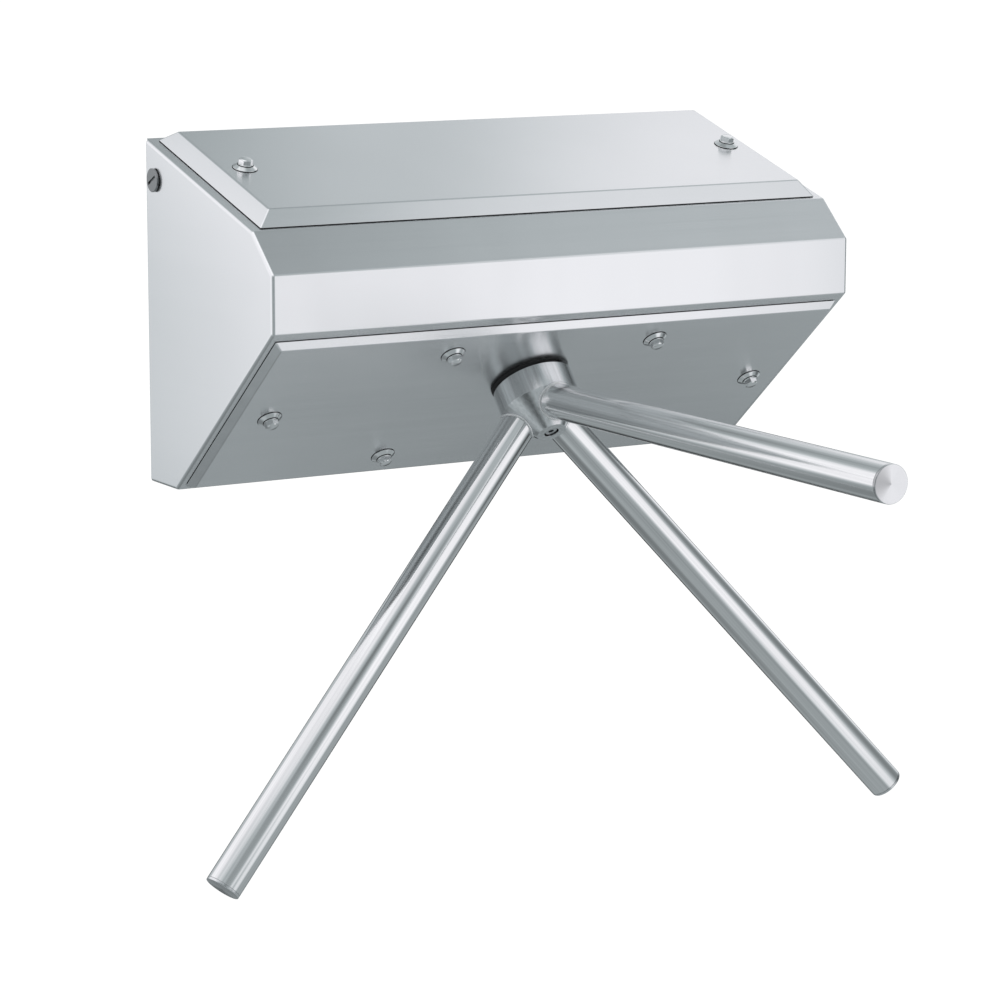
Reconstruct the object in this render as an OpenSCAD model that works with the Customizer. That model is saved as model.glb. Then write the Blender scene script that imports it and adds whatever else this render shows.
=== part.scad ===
// Wall-mounted three-arm turnstile.
// +Z is up, +Y points into the wall and the wall face is at y = 0.
// The origin is the centre of the wall bolt pattern.

/* [Body] */
// Width over the side panels
body_w = 700; // [600:10:900]
// Depth from the wall to the front face
body_d = 290; // [285:1:310]
// Depth of the flat floor next to the wall
floor_d = 64; // [56:1:70]
// Height of the upright front face
front_h = 60; // [50:1:80]
// Depth of the upper chamfer
chamfer_d = 44; // [36:1:52]
// Height of the upper chamfer
chamfer_h = 40; // [34:1:50]
// Fall of the top towards the front in degrees
top_slope = 17; // [14:0.5:20]
// Rise of the under face towards the front in degrees
under_slope = 40; // [39:0.5:42]
// Thickness of the body sheet
sheet_t = 2.5; // [2:0.25:3]

/* [Covers] */
// Thickness of the cover sheet
cover_t = 1.5; // [1:0.25:2]
// Height of the top cover over its seal
top_cover_rise = 14; // [10:1:18]
// Height of the under cover over its seal
under_cover_rise = 6; // [5:0.5:8]
// Gap between body edge and top cover at the sides
top_cover_side_gap = 12; // [8:1:16]
// Gap between body edge and under cover at the sides
under_cover_side_gap = 8; // [7:1:16]
// Gap between wall and top cover
top_cover_back_gap = 8; // [6:1:12]
// Gap between front fold and top cover
top_cover_front_gap = 4; // [3:0.5:8]
// Gap between front fold and under cover
under_cover_front_gap = 12; // [8:1:14]
// Gap between floor fold and under cover
under_cover_back_gap = 7; // [5:1:10]
// Thickness of the cover seals
seal_t = 1.5; // [1:0.25:3]
// Width of the cover seals
seal_w = 10; // [6:1:12]
// Width of the side flanges under the covers
side_flange_w = 70; // [65:1:80]
// Width of the front and rear flanges under the top cover
top_flange_w = 40; // [30:1:50]
// Width of the front and rear flanges under the under cover
under_flange_w = 66; // [62:1:68]

/* [Cover screws] */
// Radius of the cover screw shank
screw_r = 4; // [3:0.5:5]
// Width across the flats of the cover screw head
screw_flats = 13; // [10:1:15]
// Height of the hexagon of the cover screw head
screw_head_h = 7; // [5:0.5:8]
// Radius of the sealing collar under a cover screw
collar_r = 13; // [11:0.5:15]
// Height of the sealing collar
collar_h = 3; // [2:0.5:4]
// Distance of the side screws from the body edge
side_screw_in = 52; // [48:1:56]
// Half the distance between the screws along the under cover edges
edge_screw_x = 124; // [115:1:140]
// Distance of the edge screws from the under cover edges
edge_screw_in = 39; // [36:1:41]

/* [Side plugs] */
// Radius of the blanking plug head
plug_head_r = 12.5; // [12:0.5:15]
// Height of the blanking plug head
plug_head_h = 2; // [1.5:0.25:3]
// Radius of the blanking plug thread
plug_r = 10; // [8:0.5:10]
// Distance of the plug from the wall
plug_back = 22; // [20:1:30]
// Distance of the plug below the upper rear corner
plug_down = 42; // [36:1:60]

/* [Wall fixing] */
// Distance between the wall bolts across the body
wall_bolt_x = 560; // [460:10:580]
// Distance between the wall bolts up the body
wall_bolt_z = 260; // [200:10:280]
// Radius of the wall bolt holes
wall_bolt_r = 5.5; // [4.5:0.5:6.5]

/* [Arms and hub] */
// Distance from the front fold down the under face to the hub axis
hub_down = 116; // [114:0.5:118]
// Radius of the hub drum
drum_r = 44; // [43:0.5:46]
// Length of the hub drum
drum_len = 27.5; // [26.5:0.5:30]
// Radius of the flat tip of the hub
tip_r = 16; // [14:0.5:18]
// Distance from the back of the drum to the point where the arm axes meet
apex_in = 14.8; // [14:0.1:15.5]
// Height of the hub seal over the under cover
hub_seal_h = 5; // [4:0.5:7]
// Radius of the hub seal
hub_seal_r = 45.5; // [42:0.5:48]
// Radius of the arm tube
arm_r = 19; // [18.5:0.25:19.5]
// Wall of the arm tube
arm_wall = 2; // [1.5:0.25:3]
// Length of an arm from the meeting point of the axes to its end
arm_len = 625; // [500:5:700]
// Thickness of the rim of the arm cap
cap_t = 3; // [2:0.5:6]
// Length of the solid plug in the root of an arm
root_plug_len = 40; // [30:1:60]

/* [Shaft and bearings] */
// Radius of the shaft
shaft_r = 15; // [14.5:0.25:15.5]
// Outer radius of a bearing
bearing_r = 31; // [30:0.5:32]
// Width of a bearing
bearing_w = 16; // [14:0.5:18]
// Number of balls in a bearing
bearing_balls = 9; // [7:1:10]
// Radius of a bearing ball
ball_r = 4.75; // [4.25:0.25:5]

/* [Mechanism] */
// Distance from the under face to the front mechanism plate
plate_gap = 31.5; // [28:0.5:36]
// Thickness of the front mechanism plate
front_plate_t = 12; // [10:1:14]
// Thickness of the rear mechanism plate
rear_plate_t = 8; // [6:1:10]
// Distance between the two mechanism plates
plate_space = 72; // [70:1:80]
// Half the width of the mechanism plates
plate_x = 115; // [113:1:125]
// Radius of the centring cam at its lobes
cam_r = 52; // [50:0.5:54]
// Depth of the hollows between the cam lobes
cam_dip = 12; // [8:1:14]
// Radius of the stop wheel
stop_r = 46; // [44:0.5:47]
// Number of notches in the stop wheel
stop_notches = 12; // [6:3:15]
// Module of the gear teeth
gear_module = 2; // [1.9:0.05:2.1]
// Teeth on the drive gear
drive_teeth = 45; // [44:1:46]
// Teeth on the damper pinion
pinion_teeth = 18; // [17:1:19]
// Radius of the centring roller
roller_r = 11; // [9:0.5:13]
// Radius of the damper body
damper_r = 22; // [18:1:24]
// Length of the damper body
damper_len = 36; // [25:1:45]

/* [Hidden] */
$fn = 72;

// Clearances
// one overrun for every cut
cut = 1;
// seam between pieces that are welded edge to edge
seam = 0.1;
// gap round a screw, pin or plug that is fixed in its hole
fit = 0.03;
// gap between faces that pass each other
run = 0.3;

// Corners of the body outline as [y, z], from the upper rear corner round the front
rise_h = (body_d - chamfer_d) * tan(top_slope);
drop_h = (body_d - floor_d) * tan(under_slope);
body_h = rise_h + chamfer_h + front_h + drop_h;
top_z = body_h / 2;
fold_z = drop_h - body_h / 2;
corners = [[0, top_z],
    [chamfer_d - body_d, fold_z + front_h + chamfer_h],
    [-body_d, fold_z + front_h],
    [-body_d, fold_z],
    [-floor_d, -top_z],
    [0, -top_z]];
inner_w = body_w - 2 * sheet_t;
top_len = (body_d - chamfer_d) / cos(top_slope);
under_len = (body_d - floor_d) / cos(under_slope);

// Covers
top_cover_w = body_w - 2 * top_cover_side_gap;
under_cover_w = body_w - 2 * under_cover_side_gap;
top_plate_h = seal_t + top_cover_rise;
under_plate_h = seal_t + under_cover_rise;
top_back = top_cover_back_gap;
top_front = top_len - top_cover_front_gap;
under_front = under_cover_front_gap;
under_back = under_len - under_cover_back_gap;
seal_inset = 1;

// Cover screws, as [x, distance along the slope]
side_screw_x = body_w / 2 - side_screw_in;
top_screws = [for (side = [-1, 1]) [side * side_screw_x, (top_back + top_front) / 2]];
under_mid = (under_front + under_back) / 2;
under_screws = concat(
    [for (side = [-1, 1]) [side * side_screw_x, under_mid]],
    [for (side = [-1, 1]) [side * edge_screw_x, under_front + edge_screw_in]],
    [for (side = [-1, 1]) [side * edge_screw_x, under_back - edge_screw_in]]);
screw_flange_r = screw_flats * 0.62;
screw_flange_h = collar_h / 2;
screw_dome_h = screw_head_h / 5;
screw_len = 26;
standoff_wall = 3.5;
standoff_neck_wall = 1.5;
standoff_nut_wall = 5;
standoff_r = screw_r + standoff_wall;
standoff_neck_r = screw_r + standoff_neck_wall;
standoff_nut_r = screw_r + standoff_nut_wall;
standoff_nut_h = 6;

// Side plugs
plug_seal_t = 1;
plug_seal_in = 0.6;
plug_seal_r = plug_head_r - plug_seal_in;
plug_thread_len = 9;
plug_nut_h = 3;
plug_nut_r = plug_r * 1.35;
slot_w = plug_head_r / 6;
slot_turn = 38;
plug_z = top_z - plug_down;

// Hub
arm_angle = 90 - under_slope;
hub_y = -body_d + hub_down * cos(under_slope);
hub_z = fold_z - hub_down * sin(under_slope);
drum_back = under_plate_h + hub_seal_h;
drum_front = drum_back + drum_len;
tip_h = drum_front + (drum_r - tip_r) / tan(under_slope);
apex_h = drum_back + apex_in;
arms_apart = acos(pow(cos(arm_angle), 2) - pow(sin(arm_angle), 2) / 2);
socket_web = 2;
socket_start = arm_r / tan(arms_apart / 2) + socket_web;
socket_r = arm_r + fit;
set_screw_r = 4;
set_screw_in = 7.5;
set_screw_off = drum_r - set_screw_in;
set_screw_start = 4.5;
set_screw_len = 19;
shaft_grip = 24.5;
hub_screw_r = 4;
hub_screw_head_r = 6.5;
hub_screw_head_h = 8;
hub_screw_well_r = 8;
hub_screw_depth = 9.5;
hub_screw_len = 51;
hub_seal_bore = 30;
hub_seal_neck = 37;
hub_seal_lip = 3;
drum_edge = 0.6;
cap_edge = 0.8;
cap_spigot = 18;

// Stack along the hub axis, as heights over the under face; inside is below zero
plate_h = -sheet_t - plate_gap;
plate_in = plate_h - front_plate_t;
rear_in = plate_in - plate_space;
rear_out = rear_in - rear_plate_t;
bearing_lip = 4;
front_bearing_h = plate_h - bearing_lip;
wheel_t = 12;
sleeve_len = 6;
cam_h = front_bearing_h - bearing_w - sleeve_len;
stop_h = cam_h - wheel_t;
gear_h = stop_h - wheel_t;
gear_end = gear_h - wheel_t;
rear_bearing_h = rear_out + bearing_w / 2 + rear_plate_t / 2;
rear_bearing_end = rear_bearing_h - bearing_w;
clip_t = 1.5;
shaft_tail = 8;
shaft_end = rear_bearing_end - clip_t - shaft_tail;
shaft_nose = drum_back + shaft_grip;
collar_len = 6;
collar_step = 3;
clip_depth = 1.2;
clip_w = 4;
key_w = 8;
key_out = 3;
key_in = 4;
housing_wall = 6;
housing_r = bearing_r + housing_wall;
flange_w = 19;
flange_r = housing_r + flange_w;
flange_t = 6;
housing_screw_r = 3;
housing_screw_out = 11;
housing_screw_off = housing_r + housing_screw_out;
housing_screw_head = 5;
pillar_r = 10;
pillar_x = 60;
pillar_screw_r = 5;
bolt_head_r = 8.5;
bolt_head_h = 6;
front_pillar_in = 44;
rear_pillar_in = 50;
front_pillar_y = hub_down - front_pillar_in;
rear_pillar_y = hub_down - under_len + rear_pillar_in;
plate_edge = 16;
plate_top_y = front_pillar_y + plate_edge;
plate_low_y = rear_pillar_y - plate_edge;

// Bearing parts
ball_ring_r = (shaft_r + bearing_r) / 2;
race_half = ball_r * 0.74;
ball_gap = 0.05;
cage_half = ball_r * 0.25;
cage_w = ball_r * 2.4;

// Gears
pressure_angle = 20;
backlash = 0.12;
drive_r = gear_module * drive_teeth / 2;
pinion_r = gear_module * pinion_teeth / 2;
gear_centres = drive_r + pinion_r;
rear_plate_low_y = -gear_centres - damper_r - plate_edge;
flank_steps = 4;
pinion_shaft_r = 5;
damper_grip = 20;
damper_flange_h = 4;
damper_ear = 14;
damper_flange_x = damper_r + damper_ear;
damper_screw_r = 3;

// Spacers between the two plates
spacer_r = 9;
spacer_in = 14;
spacer_x = plate_x - spacer_in;
spacer_screw_r = 4;
spacers = [for (side = [-1, 1]) for (y = [plate_top_y - spacer_in, rear_plate_low_y + spacer_in])
    [side * spacer_x, y]];

// Centring lever and pawls, seen along the hub axis
roller_clear = 0.5;
wheel_gap = 2;
lever_x = cam_r + roller_r + roller_clear;
lever_half = 8;
lever_t = 8;
lever_pivot_y = -cam_r;
lever_tip_in = 4;
lever_tip_y = cam_r - lever_tip_in;
lever_h = stop_h - wheel_gap;
roller_w = 8;
roller_pin_r = 4;
pin_r = 4;
post_half = 4;
spring_r = 6;
spring_wire = 1;
spring_curls = 7;
spring_nub_r = 3;
spring_nub = 4;
post_x = spacer_x - post_half;
pawl_x = -cam_r * 1.5;
pawl_y = cam_r * 1.08;
pawl_nose_turn = 17;
pawl_clear = 1.5;
pawl_boss_r = 10;
pawl_nose_r = 4;
pawl_t = 8;
pawl_h = stop_h - wheel_gap;
notch_depth = stop_r * 0.13;
notch_share = 0.4;
pawl_spring_r = 7;
pawl_spring_curls = 5;
pawl_spring_len = 14;

steel = [0.77, 0.79, 0.80];
bright = [0.86, 0.87, 0.88];
dark_rubber = [0.10, 0.10, 0.11];
zinc = [0.62, 0.65, 0.68];
alloy = [0.70, 0.72, 0.74];
bronze = [0.72, 0.55, 0.32];

// Frames
module on_top() {
    translate([0, 0, top_z])
        rotate([top_slope, 0, 0])
            children();
}

module on_under() {
    translate([0, -body_d, fold_z])
        rotate([180 - under_slope, 0, 0])
            children();
}

module on_hub() {
    translate([0, hub_y, hub_z])
        rotate([180 - under_slope, 0, 0])
            children();
}

module on_arm(turn) {
    on_hub()
        rotate([0, 0, turn])
            translate([0, 0, apex_h])
                rotate([-arm_angle, 0, 0])
                    children();
}

module mirror_pair() {
    children();
    mirror([1, 0, 0])
        children();
}

module along_x(length) {
    rotate([90, 0, 90])
        translate([0, 0, -length / 2])
            linear_extrude(length)
                children();
}

module tube(outer, inner, length) {
    difference() {
        cylinder(r = outer, h = length);
        translate([0, 0, -cut])
            cylinder(r = inner, h = length + 2 * cut);
    }
}

// Body shell
function edge_normal(p, q) = [q.y - p.y, p.x - q.x] / norm(q - p);
function around(list, i) = list[(i + len(list)) % len(list)];
function inset_corner(i) =
    let (n1 = edge_normal(around(corners, i - 1), corners[i]),
        n2 = edge_normal(corners[i], around(corners, i + 1)))
    corners[i] - sheet_t * (n1 + n2) / (1 + n1 * n2);

module shell_section(first, last) {
    polygon(concat([for (i = [first:last]) around(corners, i)],
        [for (i = [last:-1:first]) inset_corner(i % len(corners))]));
}

module side_panel() {
    difference() {
        translate([body_w / 2 - sheet_t / 2, 0, 0])
            along_x(sheet_t)
                polygon(corners);
        translate([body_w / 2 - sheet_t - cut, -plug_back, plug_z])
            rotate([0, 90, 0])
                cylinder(r = plug_r + fit, h = sheet_t + 2 * cut);
    }
}

module left_side_panel() {
    color(steel)
        mirror([1, 0, 0])
            side_panel();
}

module right_side_panel() {
    color(steel)
        side_panel();
}

module front_panel() {
    color(steel)
        along_x(inner_w)
            shell_section(1, 3);
}

module floor_plate() {
    color(steel)
        along_x(inner_w)
            shell_section(4, 5);
}

module back_plate() {
    color(steel)
        difference() {
            along_x(inner_w)
                shell_section(5, 6);
            for (sx = [-1, 1], sz = [-1, 1])
                translate([sx * wall_bolt_x / 2, cut, sz * wall_bolt_z / 2])
                    rotate([90, 0, 0])
                        cylinder(r = wall_bolt_r, h = sheet_t + 2 * cut);
        }
}

// Cuts a window and the weld seams of its four flanges; x is across, the flanges run along -y
module flange_window(length, edge_w) {
    window_w = body_w - 2 * side_flange_w;
    depth = sheet_t + 2 * cut;
    translate([-window_w / 2, edge_w - length, -sheet_t - cut])
        cube([window_w, length - 2 * edge_w, depth]);
    for (side = [-1, 1])
        translate([side * window_w / 2 - seam / 2, -length - body_w / 2, -sheet_t - cut])
            cube([seam, length + body_w, depth]);
}

module standoff_holes(places) {
    for (p = places)
        translate([p.x, -p.y, -sheet_t - cut])
            cylinder(r = standoff_neck_r + fit, h = sheet_t + 2 * cut);
}

module pillar_places() {
    for (side = [-1, 1], y = [front_pillar_y, rear_pillar_y])
        translate([side * pillar_x, y, 0])
            children();
}

module top_flanges() {
    color(steel)
        difference() {
            along_x(inner_w)
                shell_section(0, 1);
            on_top()
                flange_window(top_len, top_flange_w);
            on_top()
                standoff_holes(top_screws);
        }
}

module under_flanges() {
    color(steel)
        difference() {
            along_x(inner_w)
                shell_section(3, 4);
            on_under()
                flange_window(under_len, under_flange_w);
            on_under()
                standoff_holes(under_screws);
        }
}

// A block with sides that lean in at 45 degrees; u0 and u1 are distances along the slope
module bevel_block(w, u0, u1, h0, h1) {
    lean = h1 - h0;
    intersection() {
        translate([0, -u0, 0])
            rotate([90, 0, 0])
                linear_extrude(u1 - u0)
                    polygon([[-w / 2, h0], [w / 2, h0], [w / 2 - lean, h1], [lean - w / 2, h1]]);
        along_x(w)
            polygon([[-u0, h0], [-u0 - lean, h1], [lean - u1, h1], [-u1, h0]]);
    }
}

module cover_tray(width, u0, u1, plate_h) {
    side = cover_t * sqrt(2);
    difference() {
        bevel_block(width, u0, u1, seal_t, plate_h);
        bevel_block(width - 2 * side + 2 * cut, u0 + side - cut, u1 - side + cut,
            seal_t - cut, plate_h - cover_t);
    }
}

module screw_holes(places, plate_h) {
    for (p = places)
        translate([p.x, -p.y, plate_h - cover_t - cut])
            cylinder(r = screw_r + fit, h = cover_t + 2 * cut);
}

module top_cover() {
    color(steel)
        on_top()
            difference() {
                cover_tray(top_cover_w, top_back, top_front, top_plate_h);
                screw_holes(top_screws, top_plate_h);
            }
}

module under_cover() {
    color(steel)
        on_under()
            difference() {
                cover_tray(under_cover_w, under_front, under_back, under_plate_h);
                screw_holes(under_screws, under_plate_h);
                translate([0, -hub_down, under_plate_h - cover_t - cut])
                    cylinder(r = hub_seal_neck + fit, h = cover_t + 2 * cut);
            }
}

module seal_frame(width, u0, u1) {
    w = width - 2 * seal_inset;
    length = u1 - u0 - 2 * seal_inset;
    translate([-w / 2, seal_inset - u1, 0])
        difference() {
            cube([w, length, seal_t]);
            translate([seal_w, seal_w, -cut])
                cube([w - 2 * seal_w, length - 2 * seal_w, seal_t + 2 * cut]);
        }
}

module top_cover_seal() {
    color(dark_rubber)
        on_top()
            seal_frame(top_cover_w, top_back, top_front);
}

module under_cover_seal() {
    color(dark_rubber)
        on_under()
            seal_frame(under_cover_w, under_front, under_back);
}

// Cover screws with their collars and the standoffs that they screw into
module cover_screw(plate_h) {
    seat = plate_h + collar_h;
    translate([0, 0, seat - screw_len])
        cylinder(r = screw_r, h = screw_len);
    translate([0, 0, seat])
        cylinder(r1 = screw_flange_r, r2 = screw_flats / 2, h = screw_flange_h);
    translate([0, 0, seat])
        cylinder(d = screw_flats / cos(30), h = screw_head_h, $fn = 6);
    translate([0, 0, seat + screw_head_h])
        cylinder(r1 = screw_flats / 2, r2 = screw_flats / 3, h = screw_dome_h);
}

module screw_collar(plate_h) {
    translate([0, 0, plate_h])
        difference() {
            union() {
                cylinder(r = collar_r, h = collar_h / 3);
                translate([0, 0, collar_h / 3])
                    cylinder(r1 = collar_r, r2 = screw_flange_r, h = collar_h * 2 / 3);
            }
            translate([0, 0, -cut])
                cylinder(r = screw_r + fit, h = collar_h + 2 * cut);
        }
}

module standoff(plate_h) {
    top = plate_h - cover_t;
    difference() {
        union() {
            cylinder(r = standoff_r, h = top);
            translate([0, 0, -sheet_t])
                cylinder(r = standoff_neck_r, h = sheet_t);
            translate([0, 0, -sheet_t - standoff_nut_h])
                cylinder(r = standoff_nut_r, h = standoff_nut_h);
        }
        translate([0, 0, -sheet_t - standoff_nut_h - cut])
            cylinder(r = screw_r + fit, h = top + sheet_t + standoff_nut_h + 2 * cut);
    }
}

module cover_screws() {
    color(bright) {
        on_top()
            for (p = top_screws)
                translate([p.x, -p.y, 0])
                    cover_screw(top_plate_h);
        on_under()
            for (p = under_screws)
                translate([p.x, -p.y, 0])
                    cover_screw(under_plate_h);
    }
}

module cover_screw_collars() {
    color(bright) {
        on_top()
            for (p = top_screws)
                translate([p.x, -p.y, 0])
                    screw_collar(top_plate_h);
        on_under()
            for (p = under_screws)
                translate([p.x, -p.y, 0])
                    screw_collar(under_plate_h);
    }
}

module cover_standoffs() {
    color(zinc) {
        on_top()
            for (p = top_screws)
                translate([p.x, -p.y, 0])
                    standoff(top_plate_h);
        on_under()
            for (p = under_screws)
                translate([p.x, -p.y, 0])
                    standoff(under_plate_h);
    }
}

// Blanking plugs of the cable entries in the side panels
module at_plug() {
    mirror_pair()
        translate([body_w / 2, -plug_back, plug_z])
            rotate([0, 90, 0])
                children();
}

module blanking_plugs() {
    color(zinc)
        at_plug()
            difference() {
                union() {
                    translate([0, 0, plug_seal_t])
                        cylinder(r = plug_head_r, h = plug_head_h);
                    translate([0, 0, -plug_thread_len])
                        cylinder(r = plug_r, h = plug_thread_len + plug_seal_t);
                }
                rotate([0, 0, slot_turn])
                    translate([-plug_head_r * 0.7, -slot_w / 2, plug_seal_t + plug_head_h / 3])
                        cube([plug_head_r * 1.4, slot_w, plug_head_h]);
            }
}

module plug_seals() {
    color(dark_rubber)
        at_plug()
            tube(plug_seal_r, plug_r + fit, plug_seal_t);
}

module plug_locknuts() {
    color(zinc)
        at_plug()
            translate([0, 0, -sheet_t - plug_nut_h])
                difference() {
                    cylinder(r = plug_nut_r, h = plug_nut_h, $fn = 6);
                    translate([0, 0, -cut])
                        cylinder(r = plug_r + fit, h = plug_nut_h + 2 * cut);
                }
}

// Hub seal between the under cover and the hub
module hub_seal() {
    low = under_plate_h - cover_t;
    color(dark_rubber)
        on_hub()
            rotate_extrude()
                polygon([[hub_seal_bore, low - hub_seal_lip],
                    [hub_seal_neck + hub_seal_lip, low - hub_seal_lip],
                    [hub_seal_neck, low],
                    [hub_seal_neck, under_plate_h],
                    [hub_seal_r, under_plate_h],
                    [hub_seal_r, drum_back - run],
                    [hub_seal_bore, drum_back - run]]);
}

// Rotor: hub head, arms and shaft
module keyway(reach, low, high) {
    translate([-key_w / 2 - fit, -reach - fit, low])
        cube([key_w + 2 * fit, reach + fit, high - low]);
}

module set_screw_place(turn) {
    rotate([0, 0, turn])
        translate([0, set_screw_off, drum_back])
            children();
}

module hub_head() {
    well = tip_h - hub_screw_depth;
    color(steel)
        difference() {
            on_hub()
                difference() {
                    rotate_extrude()
                        polygon([[0, drum_back], [drum_r - drum_edge, drum_back],
                            [drum_r, drum_back + drum_edge], [drum_r, drum_front],
                            [tip_r, tip_h], [0, tip_h]]);
                    translate([0, 0, drum_back - cut])
                        cylinder(r = shaft_r + fit, h = shaft_grip + run + cut);
                    keyway(shaft_r + key_out, drum_back - cut, shaft_nose + run);
                    translate([0, 0, drum_back])
                        cylinder(r = hub_screw_r + fit, h = tip_h - drum_back);
                    translate([0, 0, well])
                        cylinder(r = hub_screw_well_r, h = hub_screw_depth + cut);
                    for (turn = [0, 120, 240])
                        set_screw_place(turn)
                            translate([0, 0, -cut])
                                cylinder(r = set_screw_r + fit,
                                    h = set_screw_start + set_screw_len + cut);
                }
            for (turn = [0, 120, 240])
                on_arm(turn)
                    translate([0, 0, socket_start])
                        cylinder(r = socket_r, h = arm_len);
        }
}

module arm_tube(turn) {
    start = socket_start + run;
    color(steel)
        difference() {
            on_arm(turn)
                translate([0, 0, start])
                    tube(arm_r, arm_r - arm_wall, arm_len - cap_t - start);
            on_hub()
                set_screw_place(turn)
                    cylinder(r = set_screw_r + fit, h = set_screw_start + set_screw_len + run);
        }
}

module front_arm() {
    arm_tube(0);
}

module left_arm() {
    arm_tube(120);
}

module right_arm() {
    arm_tube(240);
}

module arm_cap(turn) {
    face = arm_len - cap_t;
    color(steel)
        on_arm(turn) {
            translate([0, 0, face - cap_spigot])
                cylinder(r = arm_r - arm_wall - fit, h = cap_spigot);
            translate([0, 0, face])
                cylinder(r = arm_r, h = cap_t - cap_edge);
            translate([0, 0, arm_len - cap_edge])
                cylinder(r1 = arm_r, r2 = arm_r - cap_edge, h = cap_edge);
        }
}

module front_arm_cap() {
    arm_cap(0);
}

module left_arm_cap() {
    arm_cap(120);
}

module right_arm_cap() {
    arm_cap(240);
}

module arm_root_plugs() {
    color(zinc)
        for (turn = [0, 120, 240])
            difference() {
                on_arm(turn)
                    translate([0, 0, socket_start + run])
                        cylinder(r = arm_r - arm_wall - fit, h = root_plug_len);
                on_hub()
                    set_screw_place(turn)
                        cylinder(r = set_screw_r + fit,
                            h = set_screw_start + set_screw_len + run);
            }
}

module arm_set_screws() {
    color(zinc)
        on_hub()
            for (turn = [0, 120, 240])
                set_screw_place(turn)
                    translate([0, 0, set_screw_start])
                        difference() {
                            cylinder(r = set_screw_r, h = set_screw_len);
                            translate([0, 0, -cut])
                                cylinder(r = set_screw_r / 2, h = set_screw_r + cut, $fn = 6);
                        }
}

module hub_screw() {
    well = tip_h - hub_screw_depth;
    color(bright)
        on_hub()
            difference() {
                union() {
                    translate([0, 0, well - hub_screw_len])
                        cylinder(r = hub_screw_r, h = hub_screw_len);
                    translate([0, 0, well])
                        cylinder(r = hub_screw_head_r, h = hub_screw_head_h);
                }
                translate([0, 0, well + hub_screw_head_h / 3])
                    cylinder(r = hub_screw_head_r / 2, h = hub_screw_head_h, $fn = 6);
            }
}

module main_shaft() {
    clip_h = rear_bearing_end - clip_t;
    color(zinc)
        on_hub()
            difference() {
                union() {
                    translate([0, 0, shaft_end])
                        cylinder(r = shaft_r, h = shaft_nose - shaft_end);
                    translate([0, 0, front_bearing_h])
                        cylinder(r = shaft_r + collar_step, h = collar_len);
                }
                translate([0, 0, clip_h - fit])
                    tube(shaft_r + cut, shaft_r - clip_depth, clip_t + fit);
                translate([0, 0, tip_h - hub_screw_depth - hub_screw_len - run])
                    cylinder(r = hub_screw_r + fit, h = hub_screw_len);
                for (span = [[drum_back, shaft_nose], [gear_end, cam_h]])
                    translate([-key_w / 2 - fit, -shaft_r - cut, span[0]])
                        cube([key_w + 2 * fit, key_in + cut, span[1] - span[0]]);
            }
}

module shaft_keys() {
    color(zinc)
        on_hub()
            for (span = [[drum_back, shaft_nose], [gear_end, cam_h]])
                translate([-key_w / 2, -shaft_r - key_out, span[0]])
                    cube([key_w, key_out + key_in - fit, span[1] - span[0]]);
}

module wheel_bore(length) {
    translate([0, 0, -cut])
        cylinder(r = shaft_r + fit, h = length + 2 * cut);
    keyway(shaft_r + key_out, -cut, length + cut);
}

// Three hollows, one opposite each gap between the arms, hold the arms in their rest places
cam_points = [for (a = [0:5:355])
    (cam_r - cam_dip * (1 + cos(3 * a)) / 2) * [cos(a), sin(a)]];

module centring_cam() {
    color(zinc)
        on_hub()
            translate([0, 0, stop_h])
                difference() {
                    union() {
                        translate([0, 0, wheel_t - roller_w])
                            linear_extrude(roller_w)
                                polygon(cam_points);
                        cylinder(r = shaft_r * 1.7, h = wheel_t);
                    }
                    wheel_bore(wheel_t);
                }
}

module stop_wheel() {
    pitch = 360 / stop_notches;
    half = pitch * notch_share / 2;
    low = stop_r - notch_depth;
    outline = [for (i = [0:stop_notches - 1])
        for (p = [[stop_r, -pitch / 2], [stop_r, -half], [low, -half * 0.8],
            [low, half * 0.8], [stop_r, half]])
            p[0] * [cos(i * pitch + p[1]), sin(i * pitch + p[1])]];
    color(zinc)
        on_hub()
            translate([0, 0, gear_h])
                difference() {
                    linear_extrude(wheel_t)
                        polygon(outline);
                    wheel_bore(wheel_t);
                }
}

// Involute gear outline
function involute(base, t) = base * [cos(t) + t * PI / 180 * sin(t), sin(t) - t * PI / 180 * cos(t)];
function turned(p, a) = [p.x * cos(a) - p.y * sin(a), p.x * sin(a) + p.y * cos(a)];
function flank(teeth) =
    let (pitch_r = gear_module * teeth / 2,
        base = pitch_r * cos(pressure_angle),
        root = pitch_r - 1.25 * gear_module,
        tip = pitch_r + gear_module,
        t0 = root > base ? acos(base / root) : 0,
        r0 = max(root, base),
        inv_pitch = tan(pressure_angle) * 180 / PI - pressure_angle,
        half = 90 / teeth - backlash / pitch_r * 180 / PI / 2,
        rise = [for (i = [0:flank_steps])
            let (r = r0 + (tip - r0) * i / flank_steps,
                t = sqrt(pow(r / base, 2) - 1) * 180 / PI)
            turned(involute(base, t), -half - inv_pitch)])
    root < base ? concat([root * [cos(-half - inv_pitch), sin(-half - inv_pitch)]], rise) : rise;
function gear_points(teeth) =
    let (side = flank(teeth))
    [for (i = [0:teeth - 1])
        for (p = concat(side, [for (k = [len(side) - 1:-1:0]) [side[k].x, -side[k].y]]))
            turned(p, i * 360 / teeth)];

module drive_gear() {
    color(zinc)
        on_hub()
            translate([0, 0, gear_end])
                difference() {
                    linear_extrude(wheel_t)
                        rotate(-90)
                            polygon(gear_points(drive_teeth));
                    wheel_bore(wheel_t);
                }
}

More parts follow.
